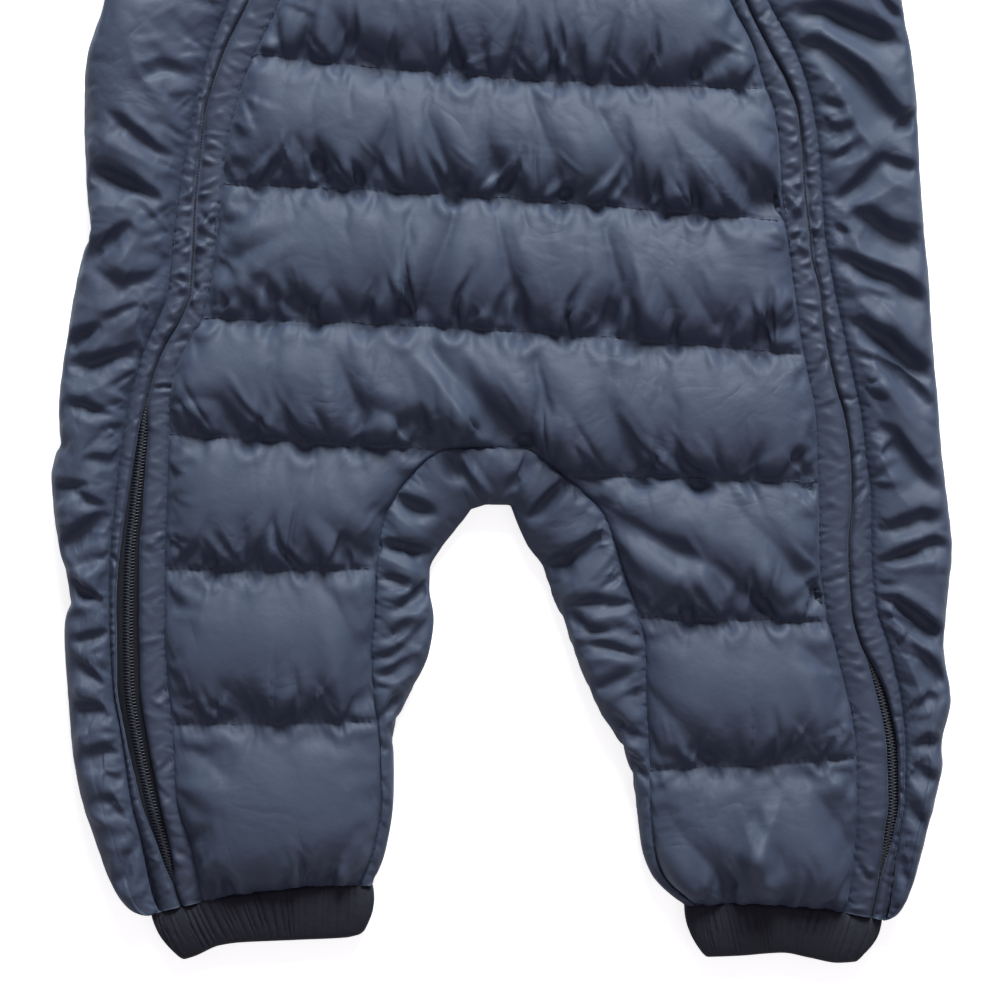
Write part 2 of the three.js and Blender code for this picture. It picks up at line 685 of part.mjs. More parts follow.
// The arm's edges at a share of its length: the armhole at 0, the seam with the cuff at 1.
function armEnds(sign, share, past = 0, wide = arm.wristHalf) {
  const along = new THREE.Vector2(Math.cos(arm.slope), -Math.sin(arm.slope));
  const up = new THREE.Vector2(Math.sin(arm.slope), Math.cos(arm.slope));
  const underarm = new THREE.Vector2(arm.underarm.x, arm.underarm.y);
  const shoulder = new THREE.Vector2(arm.shoulder.x, arm.shoulder.y);
  const wrist = underarm.clone().lerp(shoulder, 0.5).addScaledVector(along, arm.length + past);
  const ends = [
    [underarm, wrist.clone().addScaledVector(up, -wide)],
    [shoulder, wrist.clone().addScaledVector(up, wide)],
  ];
  const [low, high] = ends.map(([from, to]) => from.setX(from.x + gap).lerp(to, share));
  return { from: { x: sign * low.x, y: low.y }, to: { x: sign * high.x, y: high.y } };
}

function sleeve(sign) {
  const rows = [];
  for (let channel = 0; channel < arm.channels; channel++) {
    for (const t of filled) rows.push({ share: (channel + t) / arm.channels, full: t > 0 });
  }
  rows.push({ share: 1, full: false });
  const made = tube(
    rows.map(({ share, full }) => {
      const ends = armEnds(sign, share);
      const width = Math.hypot(ends.to.x - ends.from.x, ends.to.y - ends.from.y);
      const middle = middleAt((1 - share) * arm.length);
      const crown = full ? level.sleeveCrown : level.seam;
      return { ...ends, section: tubeSection(width, middle, crown, full ? 0 : level.edgeGroove, fold.inset) };
    }),
  );
  return sign > 0 ? made : reversed(made);
}

function wristCuff(sign) {
  const made = tube(
    [0, 0.5, 1].map((share) => {
      const wide = lerp(arm.wristHalf, arm.cuffHalf, Math.min(1, share * 2));
      const ends = armEnds(sign, 1, gap + share * arm.cuffLength, wide);
      return { ...ends, section: tubeSection(2 * wide, level.cuffMiddle, level.cuff, 0, level.cuff / 2) };
    }),
  );
  return sign > 0 ? made : reversed(made);
}

// An ankle cuff hangs from the leg's seam and ends on its own lower edge.
function ankleCuff(hem, edge) {
  const along = (line, f) => heightOn(line)(lerp(line.from.x, line.to.x, f));
  return tube(
    [0, 0.5, 1].map((share) => {
      const from = { x: lerp(hem.from.x, edge.from.x, share), y: 0 };
      const to = { x: lerp(hem.to.x, edge.to.x, share), y: 0 };
      const section = tubeSection(to.x - from.x, level.cuffMiddle, level.cuff, 0, level.cuff / 2);
      return { from, to, section, bend: (f) => lerp(along(hem, f), along(edge, f), share) };
    }),
  );
}

// The collar's front stands between the zips.
function collarFront() {
  const across = [0, 0.25, 0.5, 0.75, 1];
  const rows = [0, 0.2, 0.7, 1].map((t) =>
    across.map((f) => {
      const base = quadratic(bodyLines[0].right, neck.front, bodyLines[0].left, f) + gap;
      const y = lerp(collar.frontTop, base, t);
      const full = t > 0 && t < 1 && f > 0 && f < 1;
      return { x: lerp(limb.right.in(y) + gap, limb.left.in(y) - gap, f), y, full };
    }),
  );
  return wall(
    rows.map((row) => row.map((p) => point(p.x, p.y, level.middle + (p.full ? level.collar : level.seam)))),
    rows.map((row) => row.map((p) => point(p.x, p.y, level.middle + half))),
  );
}

// The rest of the collar runs from one zip round the back of the neck to the other.
function collarBack() {
  const outX = Math.abs(limb.left.out(neck.y)) + gap;
  const wide = neck.x - 1;
  const section = [
    // x, height on the outer face, height on the inner face, and how far the inner face stays in
    { x: outX, outer: level.seam, inner: half, inset: 0 },
    { x: wide - 8, outer: level.collar, inner: half, inset: 0 },
    { x: wide - 1.5, outer: level.collar * 0.6, inner: half, inset: 3 },
    { x: wide, outer: 0, inner: 0, inset: 3.6 },
    { x: wide - 1.5, outer: -level.collar * 0.6, inner: -half, inset: 3 },
    { x: wide - 10, outer: -level.collar, inner: -half, inset: 0 },
    { x: wide * 0.4, outer: -level.collar, inner: -half, inset: 0 },
  ];
  const left = section.toReversed().map((p) => ({ ...p, sign: 1 }));
  const around = [...section.map((p) => ({ ...p, sign: -1 })), ...left];
  const rows = [1, 0.6, 0].map((t) => {
    const at = (p, inset, z) => {
      const x = p.sign * (p.x - inset);
      const onFront = p.outer > 0;
      const base = topEdge(x, onFront ? neck.side : neck.back) + gap;
      const top = onFront ? collar.zipTop : base + collar.tall;
      return point(x, lerp(base, top, t), level.middle + z);
    };
    const thick = t === 0 || t === 1 ? collar.edge : 1;
    return {
      outer: around.map((p) => at(p, 0, p.outer * thick)),
      inner: around.map((p) => at(p, p.inset, p.inner)),
    };
  });
  const made = wall(
    rows.map((row) => row.outer),
    rows.map((row) => row.inner),
  );
  return reversed(made);
}

// A closed shape as a manifold-3d solid, and back as a geometry.
const wasm = await Module();
wasm.setup();
function solid(made) {
  const loose = made.index ? made.toNonIndexed() : made;
  const bare = new THREE.BufferGeometry().setAttribute("position", loose.getAttribute("position"));
  const merged = mergeVertices(bare, 1e-4);
  const triVerts = new Uint32Array(merged.index.array);
  const mesh = new wasm.Mesh({ numProp: 3, vertProperties: merged.attributes.position.array, triVerts });
  return new wasm.Manifold(mesh);
}
function geometryOf(made) {
  const mesh = made.getMesh();
  const out = new THREE.BufferGeometry();
  out.setAttribute("position", new THREE.BufferAttribute(mesh.vertProperties, 3));
  return out.setIndex(new THREE.BufferAttribute(mesh.triVerts, 1));
}

const block = (wide, long, tall, x, y, z) => new THREE.BoxGeometry(wide, long, tall).translate(x, y, z);
const rod = (radius, wide) => new THREE.CylinderGeometry(radius, radius, wide, 12).rotateZ(Math.PI / 2);

// The slider's body is a shield, with two posts and a bar for the pull. The bar lies on the axis at z = 0.
function zipSlider() {
  const [w, l] = [slider.width / 2, slider.length / 2];
  const shape = new THREE.Shape();
  shape.moveTo(-w * 0.7, -l);
  shape.lineTo(w * 0.7, -l);
  shape.lineTo(w, l * 0.4);
  shape.lineTo(w * 0.75, l);
  shape.lineTo(-w * 0.75, l);
  shape.lineTo(-w, l * 0.4);
  shape.closePath();
  const thick = slider.high - slider.low;
  const body = new THREE.ExtrudeGeometry(shape, { depth: thick, bevelEnabled: false });
  const tall = slider.bar + slider.barRadius - slider.high + thick / 2;
  const apart = pull.eyeWidth / 2 + gap + slider.post / 2;
  const post = (x) => block(slider.post, 2 * slider.post, tall, x, 0, slider.barRadius - tall / 2);
  return geometryOf(
    solid(body.translate(0, 0, slider.low - slider.bar))
      .add(solid(post(-apart)))
      .add(solid(post(apart)))
      .add(solid(rod(slider.barRadius, 2 * apart))),
  );
}

// The pull is an eye round the bar and a tab that lies along the zip, towards the ankles.
function zipPull() {
  const top = pull.thick - pull.eye;
  const height = (top - pull.eye) / 2;
  const neckTab = block(pull.eyeWidth, pull.neck + gap, pull.thick, 0, -(pull.neck + gap) / 2, height);
  const tabMiddle = -(pull.length + pull.neck) / 2;
  const tab = block(pull.width, pull.length - pull.neck, pull.thick, 0, tabMiddle, height);
  return geometryOf(
    solid(rod(pull.eye, pull.eyeWidth))
      .add(solid(neckTab))
      .add(solid(tab))
      .subtract(solid(rod(pull.hole, pull.eyeWidth + 1))),
  );
}

const cloth = (color, roughness = 0.55) => new THREE.MeshStandardMaterial({ color, roughness, metalness: 0 });
const materials = {
  shell: cloth(0x3b4256),
  welt: cloth(0x343b4f),
  cuff: cloth(0x262a36, 0.7),
  tape: cloth(0x1b1d24, 0.8),
  metal: new THREE.MeshStandardMaterial({ color: 0x2a2c33, roughness: 0.35, metalness: 0.8 }),
};

const suit = new THREE.Group();
function add(name, geometry, material) {
  const made = new THREE.Mesh(geometry, material);
  made.name = name;
  suit.add(made);
  return made;
}

add("front", frontPanel(), materials.shell);
add("back", backPanel(), materials.shell);
add("side_right", sidePanel(limb.right), materials.shell);
add("side_left", sidePanel(limb.left), materials.shell);
add("gusset", gusset(), materials.shell);
add("welt_right_outer", welt(limb.right, "out"), materials.welt);
add("welt_right_inner", welt(limb.right, "in"), materials.welt);
add("welt_left_inner", welt(limb.left, "in"), materials.welt);
add("welt_left_outer", welt(limb.left, "out"), materials.welt);
add("zip_right", zipTape(limb.right), materials.tape);
add("zip_left", zipTape(limb.left), materials.tape);
add("sleeve_right", sleeve(-1), materials.shell);
add("sleeve_left", sleeve(1), materials.shell);
add("cuff_wrist_right", wristCuff(-1), materials.cuff);
add("cuff_wrist_left", wristCuff(1), materials.cuff);
add("cuff_ankle_right", ankleCuff(rightHem, rightCuffEdge), materials.cuff);
add("cuff_ankle_left", ankleCuff(leftHem, leftCuffEdge), materials.cuff);
add("collar_front", collarFront(), materials.shell);
add("collar_back", collarBack(), materials.shell);

for (const [name, side] of Object.entries(limb)) {
  const place = point((side.out(slider.y) + side.in(slider.y)) / 2, slider.y, level.middle + slider.bar);
  add(`slider_${name}`, zipSlider(), materials.metal).position.copy(place);
  add(`pull_${name}`, zipPull(), materials.metal).position.copy(place);
}

const box = new THREE.Box3().setFromObject(suit);
suit.position.set(-(box.min.x + box.max.x) / 2, -(box.min.y + box.max.y) / 2, 0);

export default suit;
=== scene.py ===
import math

import bpy
import numpy as np
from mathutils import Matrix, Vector


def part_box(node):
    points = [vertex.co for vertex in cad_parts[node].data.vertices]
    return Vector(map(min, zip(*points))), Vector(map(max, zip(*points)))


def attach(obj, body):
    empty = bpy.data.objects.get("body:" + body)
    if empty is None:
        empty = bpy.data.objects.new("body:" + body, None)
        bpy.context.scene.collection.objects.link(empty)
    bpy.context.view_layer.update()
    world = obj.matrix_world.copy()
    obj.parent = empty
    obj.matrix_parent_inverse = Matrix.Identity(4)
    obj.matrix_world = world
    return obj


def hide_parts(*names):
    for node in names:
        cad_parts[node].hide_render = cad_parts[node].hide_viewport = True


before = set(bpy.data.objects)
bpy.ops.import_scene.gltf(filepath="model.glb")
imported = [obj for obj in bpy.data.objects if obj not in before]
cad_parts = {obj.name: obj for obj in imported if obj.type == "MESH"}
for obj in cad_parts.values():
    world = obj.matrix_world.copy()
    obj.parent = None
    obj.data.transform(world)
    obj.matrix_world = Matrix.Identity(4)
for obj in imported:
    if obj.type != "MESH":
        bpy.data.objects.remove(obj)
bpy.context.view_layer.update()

# The cut is laid out in millimetres, with y = 0 at the crotch fold and z = 0 on the surface below.
lay = {
    "mm": 0.001,
    "crotchY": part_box("cuff_ankle_left")[0][1] + 0.195,
    "middle": 12.0,  # where the front lies on the back
    "cuffMiddle": 6.0,
    "cuffSlope": 45.0,
    "seamUp": 3.5,  # a stitched line above the middle
    "backSeam": 6.0,  # and one of the back above the surface below
    "floor": 0.25,  # where the back and the sleeves rest
    "least": 0.2,  # no point lies lower than this
    "farAway": 99,  # stands for the distance to stitching where there is none
}

# Each side's lines, from the neck down: the two stitch lines of its zip, the slit between the welts, how
# wide the slit stands open, and the outline of the suit. hem is where the leg ends and cuffEdge the lower
# edge of its cuff. seam joins the gusset to the front, and edge is where the gusset folds under. legLines
# are quilting lines.
limbs = {
    "right": {
        "sign": -1,
        "y": [430, 385, 350, 310, 260, 212, 194, 177, 166, 150, 128, 106, 90, 78, 67, 57, 44, 23, 1]
        + [-25, -50, -76, -100, -125, -145, -166, -174],
        "inner": [-38.5, -38.5, -44, -57, -75, -93.5, -102, -109.3, -112, -116, -118, -121, -123]
        + [-126, -131.5, -136, -139, -140.3, -141, -142, -142, -140.5, -138.5, -137, -131, -127.5]
        + [-127],
        "slit": [-48, -48, -53.5, -66.5, -86.5, -107, -116, -122, -125, -126.7, -129, -130, -131]
        + [-135.5, -142, -146, -149.5, -152, -154.5, -157, -157.5, -157, -153.5, -148, -142.5]
        + [-137, -134],
        "outer": [-57.5, -57.5, -63, -76, -96, -115, -122, -127, -129.7, -133, -136.5, -139]
        + [-140.5, -145, -150, -153.5, -157, -160.5, -163, -165, -165, -163.5, -159.5, -156]
        + [-151, -145.5, -143],
        "open": [11, 4, 1, 0.8, 0.8, 1.4, 1.6, 1.6, 1.6, 1.2, 0.8, 0.5, 0.4, 0.4, 0.6, 0.9, 1.8]
        + [4, 6, 8, 9, 9, 8, 7, 4, 1.5, 1],
        "outlineY": [272, 240, 212, 181, 149, 118, 107, 86, 65, 44, 27, 13, 2, -19, -29, -40, -50]
        + [-78, -103, -124, -145, -166, -174],
        "outline": [-166, -168, -170.5, -175.5, -176, -176, -178, -181, -184, -186, -186.5, -189]
        + [-188, -185, -182.5, -181, -182.5, -180, -178, -174, -167, -157, -148],
        "hem": {"from": (-149, -174.5), "to": (-54.5, -162), "bow": 3.4},
        "cuffEdge": [(-136.5, -194.3), (-131, -192.5), (-120, -187.7), (-110, -186.2), (-87, -185.2)]
        + [(-66, -184.3), (-57.5, -182.5)],
        "seam": [(-25, 23.5), (-35.5, 15), (-44, 4), (-49, -6), (-51, -17), (-52.5, -27)]
        + [(-53, -45), (-54.5, -61), (-53, -82), (-50.5, -103), (-50.5, -124), (-53.5, -145)]
        + [(-59.5, -162)],
        "edge": [(-13, -1.5), (-16, -6), (-21, -13), (-25, -19), (-29, -28), (-29, -35), (-28, -48)]
        + [(-30, -62), (-38.5, -82), (-45.5, -103), (-46, -124), (-49, -145), (-54.5, -162)],
        "legLines": [(30, 23.5), (-27, -27), (-92.5, -91.5)],
    },
    "left": {
        "sign": 1,
        "y": [430, 385, 350, 310, 260, 212, 194, 178, 167, 150, 133, 116, 105, 91, 77, 65, 51, 37]
        + [19, 2, -18, -45, -57, -68, -85, -105, -125, -142, -156, -168, -176],
        "inner": [38.5, 38.5, 44, 57, 75, 98, 107, 112, 116, 118.3, 119, 121, 122.7, 124.5, 126.5]
        + [128.3, 130.7, 133, 134, 135, 135, 138, 141, 143.7, 148, 150.7, 151, 151, 149.5, 148]
        + [147],
        "slit": [48, 48, 53.5, 66.5, 86.5, 104.5, 113.5, 122, 126, 128, 129, 131, 132, 135.5, 137]
        + [139, 142, 146, 148.5, 149, 147.5, 149, 152, 157, 162.5, 166, 166.5, 164.5, 161.5]
        + [159.5, 158],
        "outer": [57.5, 57.5, 63, 76, 96, 114, 124, 130, 132.5, 135, 136.2, 137.3, 139, 141.5]
        + [144.5, 147, 150, 153, 155, 157, 157, 159.5, 163.5, 166.5, 170, 171.5, 171, 168.5]
        + [166.5, 165, 163],
        "open": [11, 4, 1, 0.8, 0.8, 1.6, 1.8, 2, 1.6, 1.6, 1.4, 1.6, 0.8, 0.4, 0.9, 0.3, 1.2, 1]
        + [0.8, 0.8, 0.6, 0.3, 0.6, 2.2, 3.2, 3.4, 3.4, 3, 2, 1, 0.8],
        "outlineY": [272, 240, 212, 170, 139, 118, 97, 65, 44, 23, 2, -19, -40, -61, -82, -103]
        + [-109, -124, -145, -166, -176],
        "outline": [166, 168, 169.5, 174, 175.5, 177, 179, 181, 183, 184.5, 187, 189, 187, 185.5]
        + [188.5, 184.5, 185, 182, 177, 170, 163],
        "hem": {"from": (78.5, -170.5), "to": (163, -176.8), "bow": 3.0},
        "cuffEdge": [(86.5, -192.7), (104, -191.8), (120, -190.6), (131.5, -192.7), (144, -195)]
        + [(153.5, -194.5)],
        "seam": [(26, 13), (33.5, 7), (44, -4), (49, -17), (52.5, -29), (59, -47.5), (61.5, -61)]
        + [(62, -82), (63, -103), (63.5, -124), (65.5, -145), (69.5, -157), (83, -170.5)],
        "edge": [(9, -13), (12, -19), (17, -27), (21, -37), (25, -46), (30.5, -60), (34.5, -70)]
        + [(41.5, -86), (51, -103), (59, -124), (61, -145), (65, -157), (78.5, -170.5)],
        "legLines": [(10, 13), (-49, -47.5), (-107, -112)],
    },
}
crotch = {"seam": [(-25, 23.5), (-6, 24.5), (12.5, 24), (26, 13)]}
crotch["edge"] = [(-13, -1.5), (-7, 0), (3.5, -1), (9, -13)]
# The quilting lines of the body, at the right zip, the middle and the left zip
bodyLines = [(380, 372, 380), (348, 343, 341), (296, 290, 286), (243.5, 236, 231)]
bodyLines += [(191, 181, 176.5), (136, 130, 120), (79, 74, 64)]
arm = {"underarm": (166, 272), "shoulder": (141, 384), "slope": math.radians(30), "length": 205}
arm.update({"wristHalf": 37, "cuffLength": 22, "cuffHalf": 31})
neck = {"x": 70, "y": 402, "front": 372, "back": 394, "collar": 38}


# A smooth line through a short table, which never runs past the values that it passes between
def curve(ys, values):
    ys, values = np.array(ys, float)[::-1], np.array(values, float)[::-1]
    secant = np.diff(values) / np.diff(ys)
    slope = np.zeros_like(values)
    slope[0], slope[-1] = secant[0], secant[-1]
    before, after = secant[:-1], secant[1:]
    same = before * after > 0
    slope[1:-1][same] = 2 * before[same] * after[same] / (before + after)[same]

    def at(y):
        y = np.clip(np.asarray(y, float), ys[0], ys[-1])
        k = np.clip(np.searchsorted(ys, y, side="right") - 1, 0, len(ys) - 2)
        span = ys[k + 1] - ys[k]
        t = (y - ys[k]) / span
        start = values[k] * (1 + 2 * t) * (1 - t) ** 2 + slope[k] * span * t * (1 - t) ** 2
        return start + values[k + 1] * t * t * (3 - 2 * t) + slope[k + 1] * span * t * t * (t - 1)

    return at


# The height of a hem at x
def bowed(line, x):
    (x0, y0), (x1, y1) = line["from"], line["to"]
    share = np.clip((x - x0) / (x1 - x0), 0, 1)
    return y0 + (y1 - y0) * share + 4 * line["bow"] * share * (1 - share)


def mix(a, b, t):
    return a + (b - a) * t


def smooth(a, b, v):
    t = np.clip((v - a) / (b - a), 0, 1)
    return t * t * (3 - 2 * t)


def unit(v):
    return v / np.maximum(np.linalg.norm(v, axis=-1, keepdims=True), 1e-9)


# Smooth random numbers along a line of count samples, with a new value about every step samples
def ripple(count, step, seed):
    knots = np.random.default_rng(seed).uniform(-1, 1, int(count / step) + 3)
    place = np.arange(count) / step
    k = place.astype(int)
    t = place - k
    return mix(knots[k], knots[k + 1], t * t * (3 - 2 * t))


# Points at even steps along a line
def evenly(points, step):
    points = np.array(points, float)
    run = np.concatenate([[0], np.cumsum(np.linalg.norm(np.diff(points[:, :2], axis=0), axis=1))])
    places = np.linspace(0, run[-1], max(2, round(run[-1] / step) + 1))
    return np.stack([np.interp(places, run, points[:, k]) for k in range(points.shape[1])], 1)


for limb in limbs.values():
    for key in ("inner", "slit", "outer", "open"):
        limb[key + "At"] = curve(limb["y"], limb[key])
    limb["outlineAt"] = curve(limb["outlineY"], limb["outline"])
    seam = np.array(limb["seam"], float)
    limb["seamAt"] = curve(seam[:, 1], seam[:, 0])
    limb["edgeXAt"] = curve(seam[:, 1], np.array(limb["edge"])[:, 0])
    limb["edgeYAt"] = curve(seam[:, 1], np.array(limb["edge"])[:, 1])


# How high the middle plane is: it comes down to the cuffs.
def middleAt(x, y):
    right = y - bowed(limbs["right"]["hem"], x)
    left = y - bowed(limbs["left"]["hem"], x)
    up = np.clip(np.where(x < 0, right, left) / lay["cuffSlope"], 0, 1)
    return mix(lay["cuffMiddle"], lay["middle"], up)


# The x of the armhole at a height
def armholeAt(y):
    (x0, y0), (x1, y1) = arm["underarm"], arm["shoulder"]
    return np.interp(y, [y0, y1], [x0, x1])


# The y of the neck and the shoulders, where middleY is the lowest point of the neck
def topEdge(x, middleY):
    across = np.abs(x)
    (x0, y0), (x1, y1) = (neck["x"], neck["y"]), arm["shoulder"]
    dip = middleY + (y0 - middleY) * np.minimum(across / x0, 1) ** 2.4
    return np.where(across > x0, y0 + (y1 - y0) * (across - x0) / (x1 - x0), dip)


# A tuck's section, in half widths: the cloth falls steeply to its line and rises in a broad facet below it
tuckShape = ([-3.6, -1.6, -1.1, 0.0, 0.2, 2.8, 4.8], [0, -0.2, -0.15, 1.0, 0.96, -0.24, 0])


# How far folds lift each point of a cut. A fold is the line that it follows, its half width and its height
# (minus is a trough). It may also say that it is a wedge, which narrows to its end, or a tuck.
def foldedIn(points, marks):
    x, y = points[..., 0], points[..., 1]
    lift = np.zeros(x.shape)
    for line, half, height, *kind in marks:
        line = np.array(line, float)
        lengths = np.linalg.norm(np.diff(line, axis=0), axis=1)
        (x0, y0), (x1, y1) = line.min(0) - 5 * half, line.max(0) + 5 * half
        near = (x > x0) & (x < x1) & (y > y0) & (y < y1)
        px, py = x[near], y[near]
        nearest, below, along = np.full(px.shape, 1e9), np.zeros(px.shape), np.zeros(px.shape)
        run = 0
        for a, b, length in zip(line[:-1], line[1:], lengths):
            heading = (b - a) / length
            dx, dy = px - a[0], py - a[1]
            t = np.clip((dx * heading[0] + dy * heading[1]) / length, 0, 1)
            away = np.hypot(dx - t * (b[0] - a[0]), dy - t * (b[1] - a[1]))
            lower = np.sign((dx * heading[1] - dy * heading[0]) * (1 if heading[0] > 0 else -1))
            closer = away < nearest
            along = np.where(closer, (run + t * length) / lengths.sum(), along)
            below = np.where(closer, away * lower, below)
            nearest = np.minimum(nearest, away)
            run += length
        if "tuck" in kind:
            fade = np.clip(np.minimum(0.12 + along * 2.2, (1 - along) * 3.2), 0, 1)
            fade *= np.clip(along * 12, 0, 1)
            groove = np.interp(below / (half * (0.45 + 0.75 * along)), *tuckShape)
        else:
            if "wedge" in kind:
                fade, wide = (1 - along) ** 0.9, half * (1.1 - 0.6 * along)
            else:
                fade, wide = np.clip(np.minimum(along, 1 - along) * 3.5 + 0.25, 0, 1), half
            groove = np.exp(-((nearest / wide) ** 1.15))
            groove -= 0.32 * np.exp(-(((nearest - 2 * wide) / wide) ** 2))
        lift[near] += height * fade * groove
    return lift


# Places at uneven steps along a seam: the point, the way off the seam that away points to, and the way
# along it
def alongSeam(line, away, pitch, uneven, rng):
    points = evenly(line, 0.5)
    tangent = unit(np.gradient(points, axis=0))
    side = np.stack([-tangent[:, 1], tangent[:, 0]], 1)
    side *= np.sign(side @ np.array(away, float))[:, None]
    place = rng.uniform(0, pitch)
    while place < 0.5 * (len(points) - 1):
        k = int(place * 2)
        yield points[k], side[k], tangent[k]
        place += pitch * rng.uniform(*uneven)


# Short puckers that run off a line of stitching
def puckers(line, away, seed, pitch, reach, height, half):
    rng = np.random.default_rng(seed)
    found = []
    for point, side, tangent in alongSeam(line, away, pitch, (0.55, 1.5), rng):
        tilt = rng.uniform(-0.6, 0.6)
        heading = side * math.cos(tilt) + tangent * math.sin(tilt)
        length = rng.uniform(*reach)
        bend = rng.uniform(-0.15, 0.15) * length
        middle = point + heading * length * 0.5 + tangent * bend
        far = point + heading * length
        strength = rng.uniform(*height)
        found.append(([point - heading * 2, middle, far], rng.uniform(*half), strength, "wedge"))
    return found


# Folds that fan out from pinched points of a seam. Between two folds the cloth stays flat, as in a crumpled
# sheet.
def fans(line, away, seed, pitch, reach, height):
    rng = np.random.default_rng(seed)
    found = []
    for point, side, tangent in alongSeam(line, away, pitch, (0.6, 1.5), rng):
        tilt = rng.uniform(-0.35, 0.35)
        count = int(rng.integers(3, 6))
        turns = np.sort(rng.uniform(-1.15, 1.15, count))
        rises = rng.uniform(0.35, 1.0, count) * (-1.0) ** (np.arange(count) + int(rng.integers(2)))
        found.append({
            "at": point - side * 0.5,
            "toward": side * math.cos(tilt) + tangent * math.sin(tilt),
            "turns": [-1.5, *turns, 1.5],
            "rises": [0.0, *rises, 0.0],
            "reach": rng.uniform(*reach),
            "height": rng.uniform(*height),
        })
    return found


def fannedIn(points, found):
    x, y = points[..., 0], points[..., 1]
    lift = np.zeros(x.shape)
    for fan in found:
        (fromX, fromY), (towardX, towardY), reach = fan["at"], fan["toward"], fan["reach"]
        near = (np.abs(x - fromX) < 3 * reach) & (np.abs(y - fromY) < 3 * reach)
        dx, dy = x[near] - fromX, y[near] - fromY
        turn = np.arctan2(dy * towardX - dx * towardY, dx * towardX + dy * towardY)
        far = np.hypot(dx, dy) / reach
        rise = fan["height"] * np.interp(turn, fan["turns"], fan["rises"])
        lift[near] += rise * far * np.exp((1 - far**2) / 2)
    return lift


# Thin ridges that cross the cloth at a slant, some way from its stitching
def slants(line, away, seed, pitch, start, reach, height, half):
    rng = np.random.default_rng(seed)
    found = []
    for point, side, tangent in alongSeam(line, away, pitch, (0.5, 1.6), rng):
        tilt = rng.choice([-1, 1]) * rng.uniform(0.15, 0.95)
        heading = side * math.cos(tilt) + tangent * math.sin(tilt)
        near = point + side * rng.uniform(*start)
        far = near + heading * rng.uniform(*reach)
        middle = (near + far) / 2 + tangent * rng.uniform(-1.2, 1.2)
        found.append(([near, middle, far], rng.uniform(*half), rng.uniform(*height)))
    return found


# What holds for every padded piece. Its slack, pressure and bending are its own.
padding = {
    "frames": 20,
    "quality": 6,
    "mass": 0.3,
    "stretch": 15,
    "shear": 5,
    "damping": 2,
    "cap": 0.014,  # how far a point may move, in metres
    "deepest": 4.0,  # how deep folds may dig where they meet
}
clothPieces = []


# A mesh named for its piece, from points in millimetres
def meshObject(name, points, faces):
    placed = np.array(points, float) * lay["mm"]
    placed[:, 1] += lay["crotchY"]
    mesh = bpy.data.meshes.new(name)
    mesh.from_pydata(placed.tolist(), [], faces)
    piece = bpy.data.objects.new(name, mesh)
    bpy.context.scene.collection.objects.link(piece)
    return piece, placed


# A grid of points becomes a mesh. cells says which cells are cloth, and a tube has as many cells round as
# points. pins are the stitched points, and plan says how the cloth is padded. The mesh keeps its flat cut,
# how far folds press into it, and near, the distance to its nearest stitching.
def clothObject(name, points, cells, pins, plan, flip=False, press=1.0, near=None, **settings):
    rows, cols = points.shape[:2]
    used = np.zeros((rows, cols), bool)
    r, c = np.nonzero(cells)
    nextC = (c + 1) % cols
    corners = [(r, c), (r + 1, c), (r + 1, nextC), (r, nextC)]
    for corner in corners:
        used[corner] = True
    index = np.full((rows, cols), -1)
    index[used] = np.arange(used.sum())
    faces = np.stack([index[corner] for corner in corners], 1)
    if flip:
        faces = faces[:, ::-1]
    piece, placed = meshObject(name, points[used], faces.tolist())
    cut = points.copy()
    cut[..., 2] = press
    layout = piece.data.attributes.new("cut", "FLOAT_VECTOR", "POINT")
    layout.data.foreach_set("vector", cut[used].astype(np.float32).ravel())
    if near is not None:
        layout = piece.data.attributes.new("near", "FLOAT", "POINT")
        layout.data.foreach_set("value", near[used].astype(np.float32))
    held = np.zeros(used.sum(), bool)
    held[index[pins & used]] = True
    entry = {"piece": piece, "index": index, "held": held, "start": placed}
    entry.update({"lean": 0, "floor": False, "run": (1, 0.4), "marks": [], "fans": []})
    entry.update({key: plan[key] for key in ("slack", "pressure", "bending")})
    entry.update(settings)
    clothPieces.append(entry)
    return entry


# The padding pushes the cloth out between its stitched lines, and the cloth is cut a little too large for
# them.
def puffUp():
    scene = bpy.context.scene
    for entry in clothPieces:
        piece = entry["piece"]
        group = piece.vertex_groups.new(name="stitched")
        group.add(np.nonzero(entry["held"])[0].tolist(), 1.0, "REPLACE")
        cloth = piece.modifiers.new("Cloth", "CLOTH")
        settings = cloth.settings
        settings.quality = padding["quality"]
        settings.mass = padding["mass"]
        settings.tension_stiffness = settings.compression_stiffness = padding["stretch"]
        settings.shear_stiffness = padding["shear"]
        settings.bending_stiffness = entry["bending"]
        settings.air_damping = padding["damping"]
        settings.shrink_min = -entry["slack"]
        settings.use_pressure = True
        settings.uniform_pressure_force = entry["pressure"]
        settings.effector_weights.gravity = 0
        settings.vertex_group_mass = "stitched"
        cloth.collision_settings.use_collision = False
        cloth.collision_settings.use_self_collision = False
        cloth.point_cache.frame_start = 1
        cloth.point_cache.frame_end = padding["frames"]
    for number in range(1, padding["frames"] + 1):
        scene.frame_set(number)
    depsgraph = bpy.context.evaluated_depsgraph_get()
    for entry in clothPieces:
        found = np.empty(3 * len(entry["start"]), np.float32)
        entry["piece"].evaluated_get(depsgraph).data.vertices.foreach_get("co", found)
        entry["puffed"] = found.reshape(-1, 3).astype(float)
    for entry in clothPieces:
        piece, puffed = entry["piece"], entry["puffed"]
        piece.modifiers.clear()
        piece.vertex_groups.clear()
        if not np.isfinite(puffed).all():
            raise RuntimeError(piece.name + ": the cloth simulation failed")
        move = puffed - entry["start"]
        far = np.linalg.norm(move, axis=1, keepdims=True)
        entry["places"] = entry["start"] + move * np.minimum(1, padding["cap"] / np.maximum(far, 1e-9))
        print("puffed", piece.name, "moved up to", round(far.max() * 1000, 1), "mm")
    scene.frame_set(1)


